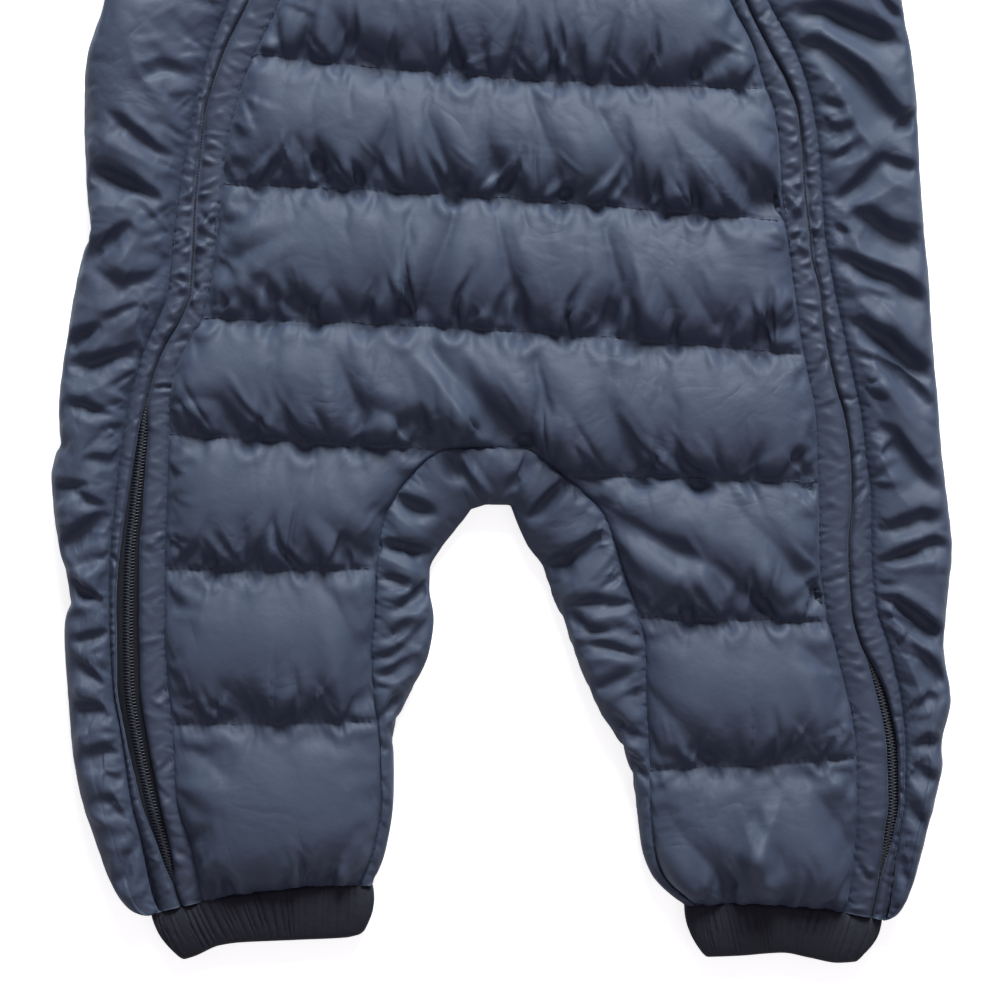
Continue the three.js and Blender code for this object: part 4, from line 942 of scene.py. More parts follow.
def makeGusset():
    seam, edge = gussetLine[:, :2], gussetLine[:, 2:]
    away = edge - seam
    width = np.linalg.norm(away, axis=1)
    away = unit(away)
    under = np.full(len(width), gusset["under"])
    distance, z = foldSection(width, middleAt(seam[:, 0], seam[:, 1]), under, gusset)
    x = seam[:, :1] + away[:, :1] * distance
    y = seam[:, 1:] + away[:, 1:] * distance
    # At the crotch the cloth falls away to its edge.
    z *= 1 - 0.66 * smooth(-62, -4, seam[:, 1:]) * np.clip(distance / width[:, None], 0, 1) ** 1.1
    press = onTopOnly(distance, width, gusset, 4)
    marks, pinched = [*gusset["folds"]], []
    seamX = x[:, 0]
    parts = (seamX < -20, (1, -0.3)), ((seamX >= -20) & (seamX < 22), (0, -1)), (seamX >= 22, (-1, -0.3))
    for part, toward in parts:
        count = int(part.sum())
        marks += puckers(seam[part], toward, 7600 + count, **gusset["puckers"])
        pinched += fans(seam[part], toward, 7650 + count, **gusset["fans"])
    flat = np.dstack([x, y])
    z = z + 0.75 * (foldedIn(flat, marks) + fannedIn(flat, pinched)) * press
    pins = np.zeros(x.shape, bool)
    pins[0] = pins[-1] = pins[:, 0] = pins[:, -1] = True
    for r in (0, -1):
        z[r] = np.where(z[r] > 7, lay["cuffMiddle"] + lay["seamUp"], np.maximum(z[r], 3.0))
    for part, toward in ((edge[:, 0] < -13, (-1, 0.2)), (edge[:, 0] > 9, (1, 0.2))):
        marks += puckers(edge[part], toward, 7700 + int(part.sum()), **gusset["edgePuckers"])
    press, wall = foldPress(press, gusset, 4)
    press = np.maximum(press, gusset["pressWall"] * wall)
    press[[0, -1]] = 0
    onTop = np.arange(x.shape[1]) <= gusset["columns"][0]
    return clothObject(
        "gusset_shell", np.dstack([x, y, z]), np.ones((x.shape[0] - 1, x.shape[1] - 1), bool), pins, gusset,
        flip=True, press=press, near=np.where(onTop, distance, lay["farAway"]), run=(0.5, 1),
        marks=marks, fans=pinched,
    )


print("sides and gusset")
for name in limbs:
    makeSide(name)
makeGusset()

# The back is cut like the front, from side seam to side seam.
back = {
    "perChannel": 10,
    "hidden": 0,
    "counts": {"right": 34, "middle": 8, "left": 32},
    "crown": 5.5,
    "slack": 0.03,
    "pressure": 150,
    "bending": 0.2,
}


def backEdge(name):
    limb = limbs[name]

    def at(y):
        y = np.asarray(y, float)
        body = limb["outlineAt"](y) - limb["sign"] * sideUnder(y)
        armhole = limb["sign"] * armholeAt(np.minimum(y, arm["shoulder"][1]))
        return np.where(y > arm["underarm"][1], armhole, body)

    return at


def makeBack():
    away = gussetLine[:, 2:] - gussetLine[:, :2]
    low = gussetLine[:, 2:] - unit(away) * gusset["under"]
    onRight = gussetLine[:, 0] < crotch["seam"][0][0]
    onLeft = gussetLine[:, 0] > crotch["seam"][-1][0]
    back["edges"] = (backEdge("right"), backEdge("left"))
    back["seams"] = {}
    for name, part in (("right", low[onRight]), ("left", low[onLeft])):
        part = part[np.argsort(part[:, 1])]
        back["seams"][name] = lambda y, part=part: np.interp(y, part[:, 1], part[:, 0])
    back["crotch"] = low[~onRight & ~onLeft]
    ends = back["edges"][0](390), back["edges"][1](390)
    back["top"] = lambda share: topEdge(mix(ends[0], ends[1], share), neck["back"])
    grid = back["grid"] = quiltGrid(back)
    arc = (np.sin(np.pi * grid["within"]) ** 0.6)[:, None]
    z = lay["backSeam"] - back["crown"] * arc * (1 - np.exp(-grid["edge"] / 8))
    wobble(grid, z, 2100, 0.8)
    beforeSeam = topEdge(grid["x"], neck["back"]) - grid["y"]
    seamZ = 9 + 2.7 * smooth(50, 68, np.abs(grid["x"]))
    z = mix(np.maximum(z, lay["floor"]), seamZ, smooth(26, 0, beforeSeam))
    return clothObject(
        "back_shell", np.dstack([grid["x"], grid["y"], z]), grid["cells"], grid["pins"], back, flip=True,
        near=grid["near"], floor=True,
    )


print("back")
backCloth = makeBack()


# A sleeve is a flat tube. Its section starts at its lower edge, goes over the top and comes back underneath.
sleeve = {
    "channels": 4,
    "perChannel": 15,
    "around": 68,
    "crown": 11.0,
    "slack": 0.035,
    "pressure": 150,
    "bending": 0.12,
    "puckers": {"pitch": 12, "reach": (8, 20), "height": (-2.2, -0.8), "half": (1.6, 2.6)},
}


# The two ends of a line across the arm, for a share of the sleeve's length or some way past its wrist
def armEnds(sign, share, past=0.0, wide=arm["wristHalf"]):
    along = np.array([math.cos(arm["slope"]), -math.sin(arm["slope"])])
    up = np.array([math.sin(arm["slope"]), math.cos(arm["slope"])])
    low, high = np.array(arm["underarm"], float), np.array(arm["shoulder"], float)
    wrist = (low + high) / 2 + along * (arm["length"] + past)
    ends = [mix(low, wrist - up * wide, share), mix(high, wrist + up * wide, share)]
    return [np.array([sign * end[0], end[1]]) for end in ends]


# Swells or flattens a sine or a cosine, so that a circle becomes a flat tube's section
def bulged(values, power):
    return np.sign(values) * np.abs(values) ** power


def tubeRow(ends, top, bottom, around):
    turn = np.linspace(0, 2 * np.pi, around, endpoint=False)
    across = 0.5 - 0.5 * bulged(np.cos(turn), 0.75)
    z = (top + bottom) / 2 + (top - bottom) / 2 * bulged(np.sin(turn), 0.75)
    return np.column_stack([mix(ends[0][None], ends[1][None], across[:, None]), z])


def makeSleeve(name):
    sign, around = limbs[name]["sign"], sleeve["around"]
    count = sleeve["channels"] * sleeve["perChannel"]
    points = []
    for r in range(count + 1):
        share = r / count
        within = (r % sleeve["perChannel"]) / sleeve["perChannel"]
        arc = math.sin(math.pi * within) ** 0.7
        toWrist = (1 - share) * arm["length"]
        middle = mix(lay["middle"], lay["cuffMiddle"], max(0, 1 - toWrist / lay["cuffSlope"]))
        top = middle + lay["seamUp"] + sleeve["crown"] * arc
        bottom = mix(lay["backSeam"] * middle / lay["middle"], 0.8, arc)
        points.append(tubeRow(armEnds(sign, share), top, bottom, around))
    points = np.array(points)
    for r in range(sleeve["perChannel"], count, sleeve["perChannel"]):
        points[r, :, 0] += 0.5 * ripple(around, 3.3, 3100 + r + 50 * sign)
        points[r, :, 2] += 0.5 * ripple(around, 4.3, 3300 + r + 50 * sign)
    pins = np.zeros(points.shape[:2], bool)
    pins[:: sleeve["perChannel"]] = True
    marks = []
    for k in range(1, sleeve["channels"] + 1):
        ends = armEnds(sign, k / sleeve["channels"])
        marks += puckers(ends, (-sign, 0), 3500 + k + 10 * sign, **sleeve["puckers"])
    return clothObject(
        f"sleeve_{name}_shell", points, np.ones((count, around), bool), pins, sleeve, flip=sign < 0,
        press=(points[..., 2] > lay["middle"]).astype(float), marks=marks, floor=True,
    )


collar = {
    "rows": 15,
    "insideRows": 8,
    "slack": 0.04,
    "pressure": 120,
    "bending": 0.1,
    "puckers": {"pitch": 9, "reach": (5, 14), "height": (-1.6, -0.6), "half": (1.4, 2.2)},
}


# A collar piece is a band of two layers that meet along its top edge. path gives, along the neck seam, its
# x, the y of the seam and of the top edge, the heights of its inner and its outer face, and how far its
# ends turn in.
def makeCollar(name, path, seed):
    outside, rows = collar["rows"], []
    for t in np.linspace(0, 1, outside):
        arc = math.sin(math.pi * t) ** 0.6
        z = path["low"] + (path["outer"] - path["low"]) * (0.35 + 0.65 * arc)
        rows.append(np.column_stack([path["x"], mix(path["base"], path["top"], t), z]))
    for t in np.linspace(1, 0, collar["insideRows"] + 1)[1:]:
        inset = path["inset"] * min(1, (1 - t) * 6)
        y = mix(path["base"], path["top"] - 0.8, t)
        rows.append(np.column_stack([path["x"] - inset, y, path["low"]]))
    points = np.array(rows)
    pins = np.zeros(points.shape[:2], bool)
    pins[0] = pins[outside - 1 :] = True
    pins[:, 0] = pins[:, -1] = True
    marks = []
    for r, away in ((0, (0, 1)), (outside - 1, (0, -1))):
        marks += puckers(points[r, :, :2], away, seed + r, **collar["puckers"])
    press = np.zeros(points.shape[:2])
    press[:outside] = np.sin(np.pi * np.linspace(0, 1, outside))[:, None]
    return clothObject(
        name, points, np.ones((len(rows) - 1, points.shape[1] - 1), bool), pins, collar,
        flip=True, press=press, marks=marks,
    )


def collarFrontPath():
    share = np.linspace(0, 1, 34)
    base = quiltLine(bodyLines[0], share) + 0.3
    x = mix(limbs["right"]["innerAt"](400) + 0.3, limbs["left"]["innerAt"](400) - 0.3, share)
    path = {"x": x, "base": base, "top": np.full(len(x), neck["front"] + neck["collar"] + 8.0)}
    path["low"] = np.full(len(x), lay["middle"] + 0.3)
    edge = np.minimum(share, 1 - share) * (x[-1] - x[0])
    path["outer"] = lay["middle"] + 3 + 5.5 * (1 - np.exp(-edge / 5))
    path["inset"] = np.zeros(len(x))
    return path


# The back collar's line starts on the front at one zip, goes round behind the neck and ends at the other zip.
def collarBackPath():
    wide = neck["x"] - 1
    outX = abs(float(limbs["left"]["outerAt"](neck["y"]))) + 0.3
    half = [(outX, 3.2), (wide - 6, 7.5), (wide - 1.5, 5), (wide, 0), (wide - 1.5, -5), (wide - 9, -8)]
    half += [(wide * 0.4, -8.5), (0, -8.5)]
    half = evenly(half, 3.2)
    x, height = np.vstack([half * [-1, 1], half[::-1][1:]]).T
    base = np.where(height > 0, topEdge(x, neck["front"] + 10), topEdge(x, neck["back"])) + 0.3
    rim = np.where(height > 0, neck["y"] + 24, base + neck["collar"])
    top = mix(base + neck["collar"], np.minimum(rim, neck["y"] + 24), smooth(-6, 3, height))
    low = lay["middle"] + np.clip(height, -0.3, 0.3)
    path = {"x": x, "base": base, "top": top, "low": low, "outer": lay["middle"] + height}
    path["inset"] = np.sign(x) * 3.4 * (1 - smooth(0, 5, np.abs(height)))
    return path


print("sleeves and collar")
for name in limbs:
    makeSleeve(name)
makeCollar("collar_front_shell", collarFrontPath(), 4100)
makeCollar("collar_back_shell", collarBackPath(), 4200)


def plainObject(name, points, faces):
    piece, _ = meshObject(name, points, faces)
    piece.data.polygons.foreach_set("use_smooth", [True] * len(piece.data.polygons))
    return piece


# The faces of a grid whose columns close into a ring, with its two ends filled where capped
def ringFaces(rows, around, capped=True, flip=False):
    r, c = np.divmod(np.arange((rows - 1) * around), around)
    a, b = r * around + c, r * around + (c + 1) % around
    faces = np.stack([a, a + around, b + around, b], 1)
    if flip:
        faces = faces[:, ::-1]
    faces = faces.tolist()
    if capped:
        first = list(range(around))
        last = [(rows - 1) * around + k for k in range(around)]
        faces += [last[::-1], first] if flip else [last, first[::-1]]
    return faces


zipper = {
    "top": neck["y"] + 24.0,
    "tape": 1.2,  # how high the tape's face lies over the middle plane
    "coilPitch": 1.35,
    "coilReach": 1.9,
    "coilRadius": 0.42,
    "gap": 0.55,  # between the welts where the slit is closed
}


# Heights where a zip has its stations, from the top of the collar down to the cuff
def zipStations(limb, step):
    low = bowed(limb["hem"], limb["slitAt"](-170))
    return np.linspace(zipper["top"], low, round((zipper["top"] - low) / step) + 1)


# A welt is a folded band between a stitch line and the slit. Its free edge rolls over, its stitching
# gathers it, and it is crumpled and drawn down where the legs bend.
welt = {
    "low": 2.6,  # its height at the stitching, and at the slit
    "high": 4.2,
    "puff": 1.6,
    "roll": 1.9,
    "rollWidth": 0.24,
    "thick": 2.0,
    "step": 0.75,
    "bend": (118, 34),  # where the legs bend, and how far that reaches
    "sink": 2.4,
    "gathers": {"pitch": 5.0, "reach": (1.6, 6.0), "height": (-1.15, -0.4), "half": (0.7, 1.3)},
    "lip": {"pitch": 15, "reach": (2.5, 6), "height": (-1.0, -0.4), "half": (0.8, 1.5)},
    "slants": {"pitch": 17, "start": (0, 2), "reach": (6, 12), "height": (-1.3, 0.9), "half": (0.8, 1.5)},
    "crumple": {"pitch": 4.4, "start": (0, 4), "reach": (7, 14), "height": (1.0, 2.2), "half": (1.2, 2.1)},
    "top": [-0.32, 0, 0.06, 0.13, 0.21, 0.3, 0.4, 0.5, 0.6, 0.7, 0.79, 0.87, 0.94, 0.985, 1.0],
    "under": [0.985, 0.9, 0.6, 0.2, -0.32],
}


def makeWelt(name, edge):
    limb, top = limbs[name], welt["top"]
    y = zipStations(limb, welt["step"])
    slit, stitched = limb["slitAt"](y), limb[edge + "At"](y)
    away = np.sign(stitched - slit)
    seed = 900 + (edge == "outer") * 40 + limb["sign"] * 7
    count = len(y)
    opening = limb["openAt"](y)
    gap = opening * smooth(1.4, 3.2, opening) + zipper["gap"]
    free = slit + away * (gap / 2 + 0.1) + 0.3 * ripple(count, 16, seed) * smooth(1, 3, gap)
    middle = middleAt(slit, y)
    pinch = np.exp(-(((y - welt["bend"][0]) / welt["bend"][1]) ** 2))
    flat = np.stack([np.stack([stitched + (free - stitched) * np.clip(s, 0, 1), y], 1) for s in top], 1)
    inward = (float(-away[0]), 0)
    seam = np.stack([stitched, y], 1)
    gathers = puckers(seam, inward, seed + 1, **welt["gathers"])
    gathers += puckers(np.stack([free, y], 1), (-inward[0], 0), seed + 2, **welt["lip"])
    gathers += slants(seam, inward, seed + 3, **welt["slants"])
    crumple = [(*mark, "tuck") for mark in slants(seam, inward, seed + 4, **welt["crumple"])]
    bent = 0.22 + 0.78 * pinch[:, None]
    creased = foldedIn(flat, gathers) + bent * foldedIn(flat, crumple)
    wave = 0.5 * ripple(count, 30, seed + 5) + 0.35 * ripple(count, 13, seed + 6)
    lines = []
    for k, share in enumerate(top + welt["under"]):
        inside, least = np.clip(share, 0, 1), zipper["tape"] + 0.3
        z = mix(welt["low"], welt["high"], inside**0.7) + (wave - welt["sink"] * pinch) * inside
        if k < len(top):
            beyond = max(0.0, (share - 1 + welt["rollWidth"]) / welt["rollWidth"])
            z = z + welt["puff"] * math.sin(math.pi * inside) ** 0.6
            z = z - welt["roll"] * (1 - math.sqrt(1 - beyond**2))
            z = z + creased[:, k] * (1 - 0.6 * beyond) - (1.4 if share < 0 else 0)
            least += 1.2 if 0 < share else 0
        else:
            z = z - welt["thick"] - 0.4 * math.sin(math.pi * inside)
        lines.append(np.stack([stitched + (free - stitched) * share, y, middle + np.maximum(z, least)], 1))
    points = np.stack(lines, 1)
    # Its last stations swing onto the hem.
    end = np.clip((y[-1] + 12 - y) / 12, 0, 1)
    points[..., 1] += ((bowed(limb["hem"], points[..., 0]) + 0.3) - y[-1]) * end[:, None] ** 2
    faces = ringFaces(count, len(lines), flip=away[0] <= 0)
    return plainObject(f"welt_{name}_{edge}_band", points.reshape(-1, 3), faces)


def makeTape(name):
    limb = limbs[name]
    y = zipStations(limb, 4.0)
    low = np.minimum(limb["innerAt"](y), limb["outerAt"](y)) - 0.6
    high = np.maximum(limb["innerAt"](y), limb["outerAt"](y)) + 0.6
    middle = middleAt(limb["slitAt"](y), y)
    shape = [(0, 0.4), (0, 0.9)] + [(s, zipper["tape"]) for s in (0.25, 0.5, 0.75)] + [(1, 0.9), (1, 0.4)]
    points = np.stack([np.stack([mix(low, high, s), y, middle + z], 1) for s, z in shape], 1)
    return plainObject(f"zip_{name}_tape", points.reshape(-1, 3), ringFaces(len(y), len(shape)))


# Rods with rounded ends, each from one point to another, joined into one mesh
def rods(name, starts, ends, radius, sides):
    starts, ends = np.array(starts, float), np.array(ends, float)
    axis = unit(ends - starts)
    side = unit(np.cross(np.tile([0.0, 0.0, 1.0], (len(axis), 1)), axis))
    up = np.cross(axis, side)
    turn = np.linspace(0, 2 * np.pi, sides, endpoint=False)
    ring = np.cos(turn)[None, :, None] * side[:, None] + np.sin(turn)[None, :, None] * up[:, None]
    rings = []
    for centre, push, size in ((starts, -0.62, 0.55), (starts, 0, 1.0), (ends, 0, 1.0), (ends, 0.62, 0.55)):
        rings.append(centre[:, None] + axis[:, None] * (push * radius) + ring * radius * size)
    points = np.stack(rings, 1)
    one, block = ringFaces(len(rings), sides), len(rings) * sides
    faces = [[k + block * n for k in face] for n in range(len(starts)) for face in one]
    return plainObject(name, points.reshape(-1, 3), faces)


def makeCoil(name):
    limb = limbs[name]
    y = zipStations(limb, zipper["coilPitch"] / 2)
    slit = limb["slitAt"](y)
    z = middleAt(slit, y) + zipper["tape"] + 0.45
    hand = np.where(np.arange(len(y)) % 2 == 0, 1, -1)
    starts = np.stack([slit - 0.35 * hand, y - 0.1, z + 0.12], 1)
    ends = np.stack([slit + hand * zipper["coilReach"], y + 0.15, z - 0.15], 1)
    return rods(f"zip_{name}_coil", starts, ends, zipper["coilRadius"], 6)


print("zips")
weltPieces, tapePieces, coilPieces = [], [], []
for name in limbs:
    weltPieces += [makeWelt(name, "outer"), makeWelt(name, "inner")]
    tapePieces.append(makeTape(name))
    coilPieces.append(makeCoil(name))

# The cuffs are gathered on elastic: pleats of uneven width run down them, and they bulge between their seams.
cuff = {
    "around": {"ankle": 520, "wrist": 340},
    "rows": 24,
    "pleat": 2.7,
    "pleatSizes": (0.35, 1.8),
    "depth": 1.5,
    "crown": 5.4,
    "seamUp": 2.4,
    "corner": 1.4,  # how far the lower corners are drawn up
    "wide": 0.62,
    "tall": 0.6,
}


# Where along the elastic the cloth is bunched, and where it is almost smooth
def gathered(pleats, rng):
    place = np.arange(pleats) / pleats
    wave = np.sin(2 * np.pi * (2 * place + rng.uniform())) + np.sin(2 * np.pi * (5 * place + rng.uniform()))
    return np.clip(0.55 + 0.4 * wave, 0, 1)


# Angles of points at even steps round the tube's section
def evenTurns(width, place):
    turn = np.linspace(0, 2 * np.pi, 4001)
    wide = 0.5 * width * bulged(np.cos(turn), cuff["wide"])
    tall = 5 * bulged(np.sin(turn), cuff["tall"])
    length = np.concatenate([[0], np.cumsum(np.hypot(np.diff(wide), np.diff(tall)))])
    return np.interp(place, length / length[-1], turn)


# outline gives, for a share of the way down and shares of the way across, the middle line of the flat tube.
def makeCuff(kind, name, outline, seed, flip):
    rng = np.random.default_rng(seed)
    around = cuff["around"][kind]
    width = np.linalg.norm(outline(0.0, 1.0) - outline(0.0, 0.0))
    pleats = int((2 * width + 14) / cuff["pleat"])
    sizes = rng.uniform(*cuff["pleatSizes"], pleats)
    edges = np.concatenate([[0], np.cumsum(sizes)]) / sizes.sum()
    place = np.arange(around) / around
    turn = evenTurns(width, place)
    across = 0.5 - 0.5 * bulged(np.cos(turn), cuff["wide"])
    sideways, upward = -bulged(np.cos(turn), 3), np.sin(turn)
    strength = rng.uniform(0.15, 1.0, pleats) ** 1.5 * 1.5 * (0.35 + 0.65 * gathered(pleats, rng))
    begins, stops = rng.uniform(-0.5, 0.35, pleats), rng.uniform(0.6, 1.5, pleats)
    rows = []
    for t in np.linspace(0, 1, cuff["rows"]):
        drift = 0.012 * np.sin(2 * np.pi * (place * 3 + 0.2)) * (t - 0.5)
        where = (place + drift + 0.003 * ripple(around, 22, seed + 5) * t) % 1.0
        k = np.clip(np.searchsorted(edges, where, side="right") - 1, 0, pleats - 1)
        within = (where - edges[k]) / (edges[k + 1] - edges[k])
        reach = smooth(0, 0.2, t - begins[k]) * smooth(0, 0.2, stops[k] - t)
        fold = (np.abs(np.sin(np.pi * within)) ** 0.6 - 0.75) * strength[k] * reach
        puffy = math.sin(math.pi * t) ** 0.45
        depth = cuff["depth"] * (0.35 + 0.65 * puffy)
        top = lay["cuffMiddle"] + mix(cuff["seamUp"], cuff["crown"], puffy)
        top = top + 0.35 * ripple(around, 30, seed + 9)
        z = (top + 1.2) / 2 + (top - 1.2) / 2 * bulged(upward, cuff["tall"]) + upward * fold * depth
        along = unit(outline(t, 1.0) - outline(t, 0.0))
        xy = outline(t, across) + along * (sideways * fold * depth)[:, None]
        rows.append(np.column_stack([xy, np.maximum(z, 0.3)]))
    # The lower edge turns in.
    inner = rows[-1].copy()
    inner[:, 2] = mix(inner[:, 2], lay["cuffMiddle"], 0.6)
    inner[:, :2] = mix(inner[:, :2], inner[:, :2].mean(0), 0.03)
    deep = inner.copy()
    deep[:, :2] += (outline(0.0, 0.5) - outline(1.0, 0.5)) * 0.4
    points = np.array([*rows, inner, deep])
    faces = ringFaces(len(points), around, capped=False, flip=flip)
    return plainObject(f"cuff_{kind}_{name}_band", points.reshape(-1, 3), faces)


def makeAnkleCuff(name):
    limb, hem = limbs[name], limbs[name]["hem"]
    edge = np.array(limb["cuffEdge"], float)
    lowerAt = curve(edge[::-1, 0], edge[::-1, 1])

    def outline(t, across):
        across = np.asarray(across, float)
        upperX = mix(hem["from"][0], hem["to"][0], across)
        lowerX = mix(edge[0, 0], edge[-1, 0], across)
        corner = np.maximum(0, 1 - np.minimum(across, 1 - across) / 0.035) ** 2
        lower = lowerAt(lowerX) + cuff["corner"] * corner
        bulge = 2.2 * np.sin(np.pi * t) * (2 * across - 1) ** 5
        return np.stack([mix(upperX, lowerX, t) + bulge, mix(bowed(hem, upperX) + 0.8, lower, t)], -1)

    return makeCuff("ankle", name, outline, 610 + limb["sign"], False)


def makeWristCuff(name):
    sign = limbs[name]["sign"]

    def outline(t, across):
        wide = mix(arm["wristHalf"], arm["cuffHalf"], min(1, 2 * t))
        low, high = armEnds(sign, 1, t * arm["cuffLength"], wide)
        return mix(low, high, np.asarray(across, float)[..., None])

    return makeCuff("wrist", name, outline, 660 + sign, sign < 0)


print("cuffs")
cuffPieces = [make(name) for name in limbs for make in (makeAnkleCuff, makeWristCuff)]

# Stitches are short rods of thread along each seam, lying a little into the cloth.
thread = {"length": 2.2, "pitch": 3.1, "radius": 0.26, "step": 0.25}


def stitches(name, lines, lift, sides=5):
    starts, ends = [], []
    pitch, length = round(thread["pitch"] / thread["step"]), round(thread["length"] / thread["step"])
    for line in lines:
        points = evenly(line, thread["step"]) + [0, 0, lift]
        first = np.arange(2, len(points) - length - 1, pitch)
        starts.append(points[first])
        ends.append(points[first + length])
    return rods(name, np.vstack(starts), np.vstack(ends), thread["radius"], sides)


# The quilting lines of a panel, in millimetres of its cut
def quiltStitches(name, grid, cloth, lift, sides=5):
    start = cloth["start"] * 1000
    start[:, 1] -= lay["crotchY"] * 1000
    lines = []
    for r, part in quiltParts(grid):
        ids = cloth["index"][r, part]
        ids = ids[ids >= 0]
        if len(ids) > 3:
            lines.append(start[ids])
    return stitches(name, lines, lift, sides)


def zipStitches(name):
    limb, lines = limbs[name], []
    y = zipStations(limb, 2.0)
    slit = limb["slitAt"](y)
    for edge in ("outer", "inner"):
        x = limb[edge + "At"](y)
        lines.append(np.stack([x + np.sign(slit - x) * 0.9, y, middleAt(slit, y) + 3.2], 1))
    return stitches(f"stitches_zip_{name}", lines, 0)


print("stitching")
threadPieces = [quiltStitches("stitches_front", frontGrid, frontCloth, -0.9)]
threadPieces.append(quiltStitches("stitches_back", back["grid"], backCloth, -0.3, 4))
threadPieces += [zipStitches(name) for name in limbs]


# Shader node helpers. A group outputs only colours, masks, values and normals.
def newGroup(name, inputs, outputs):
    group = bpy.data.node_groups.new(name, "ShaderNodeTree")
    for label, kind, value in inputs:
        socket = group.interface.new_socket(label, in_out="INPUT", socket_type=kind)
        socket.default_value = value
    for label, kind in outputs:
        group.interface.new_socket(label, in_out="OUTPUT", socket_type=kind)
    return group, group.nodes.new("NodeGroupInput"), group.nodes.new("NodeGroupOutput")


def addNode(tree, kind, values=None, **settings):
    node = tree.nodes.new(kind)
    for key, value in settings.items():
        setattr(node, key, value)
    for key, value in (values or {}).items():
        node.inputs[key].default_value = value
    return node


def mathNode(tree, operation, *values):
    node = addNode(tree, "ShaderNodeMath", operation=operation)
    for socket, value in zip(node.inputs, values):
        if isinstance(value, (int, float)):
            socket.default_value = value
        else:
            tree.links.new(value, socket)
    return node.outputs[0]


def noiseNode(tree, vector, scale, detail=2.0, rough=0.5):
    node = addNode(tree, "ShaderNodeTexNoise", {"Scale": scale, "Detail": detail, "Roughness": rough})
    tree.links.new(vector, node.inputs["Vector"])
    return node.outputs["Fac"]


def bumpNode(tree, height, distance, normal=None):
    node = addNode(tree, "ShaderNodeBump", {"Distance": distance, "Strength": 1.0})
    tree.links.new(height, node.inputs["Height"])
    if normal is not None:
        tree.links.new(normal, node.inputs["Normal"])
    return node.outputs["Normal"]


# A plain weave: two sets of fine waves that take turns on top. Pitch is in metres.
def weaveGroup():
    inputs = [("Pitch", "NodeSocketFloat", 0.0004)]
    group, given, out = newGroup("plainWeave", inputs, [("Height", "NodeSocketFloat")])
    place = group.nodes.new("ShaderNodeTexCoord")
    split = group.nodes.new("ShaderNodeSeparateXYZ")
    group.links.new(place.outputs["Object"], split.inputs[0])
    turn = mathNode(group, "DIVIDE", 2 * math.pi, given.outputs["Pitch"])
    warp = mathNode(group, "SINE", mathNode(group, "MULTIPLY", split.outputs["X"], turn))
    weft = mathNode(group, "SINE", mathNode(group, "MULTIPLY", split.outputs["Y"], turn))
    over = mathNode(group, "MULTIPLY", warp, weft)
    both = mathNode(group, "MAXIMUM", mathNode(group, "ABSOLUTE", warp), mathNode(group, "ABSOLUTE", weft))
    height = mathNode(group, "MULTIPLY_ADD", over, 0.35, both)
    group.links.new(height, out.inputs["Height"])
    return group


# Thin creases, in patches, that thin coated cloth keeps where it has been bent
def creaseGroup():
    inputs = [("Scale", "NodeSocketFloat", 60.0), ("Width", "NodeSocketFloat", 0.1)]
    group, given, out = newGroup("fineCreases", inputs, [("Height", "NodeSocketFloat")])
    place = group.nodes.new("ShaderNodeTexCoord").outputs["Object"]
    bend = addNode(group, "ShaderNodeTexNoise", {"Detail": 3.0, "Distortion": 0.6})
    group.links.new(place, bend.inputs["Vector"])
    group.links.new(given.outputs["Scale"], bend.inputs["Scale"])
    off = mathNode(group, "ABSOLUTE", mathNode(group, "SUBTRACT", bend.outputs["Fac"], 0.5))
    line = mathNode(group, "SUBTRACT", 1.0, mathNode(group, "DIVIDE", off, given.outputs["Width"]))
    line = mathNode(group, "MAXIMUM", line, 0.0)
    patch = noiseNode(group, place, 22.0, 1.0)
    patch = mathNode(group, "MULTIPLY", mathNode(group, "SUBTRACT", patch, 0.42), 5.0)
    patch = mathNode(group, "MINIMUM", mathNode(group, "MAXIMUM", patch, 0.0), 1.0)
    height = mathNode(group, "MULTIPLY", mathNode(group, "MULTIPLY", line, patch), -1.0)
    group.links.new(height, out.inputs["Height"])
    return group


# Two tones that drift over the cloth, and a value for its roughness
def toneGroup():
    inputs = [
        ("Light", "NodeSocketColor", (0.1, 0.12, 0.17, 1)),
        ("Dark", "NodeSocketColor", (0.08, 0.09, 0.14, 1)),
        ("Rough", "NodeSocketFloat", 0.5),
        ("Spread", "NodeSocketFloat", 0.12),
    ]
    outputs = [("Color", "NodeSocketColor"), ("Roughness", "NodeSocketFloat")]
    group, given, out = newGroup("clothTone", inputs, outputs)
    place = group.nodes.new("ShaderNodeTexCoord").outputs["Object"]
    broad = noiseNode(group, place, 14.0, 2.0)
    fine = noiseNode(group, place, 120.0, 3.0, 0.6)
    speck = noiseNode(group, place, 1500.0, 1.0)
    share = mathNode(group, "MULTIPLY_ADD", broad, 0.9, mathNode(group, "MULTIPLY", fine, 0.35))
    share = mathNode(group, "ADD", share, mathNode(group, "MULTIPLY_ADD", speck, 0.12, -0.24))
    blend = addNode(group, "ShaderNodeMix", data_type="RGBA", clamp_factor=True)
    group.links.new(share, blend.inputs[0])
    group.links.new(given.outputs["Light"], blend.inputs[6])
    group.links.new(given.outputs["Dark"], blend.inputs[7])
    group.links.new(blend.outputs[2], out.inputs["Color"])
    drift = mathNode(group, "SUBTRACT", fine, 0.5)
    rough = mathNode(group, "MULTIPLY_ADD", drift, given.outputs["Spread"], given.outputs["Rough"])
    group.links.new(rough, out.inputs["Roughness"])
    return group


groups = {"weave": weaveGroup(), "creases": creaseGroup(), "tone": toneGroup()}


def useGroup(tree, name, values):
    return addNode(tree, "ShaderNodeGroup", values, node_tree=groups[name])


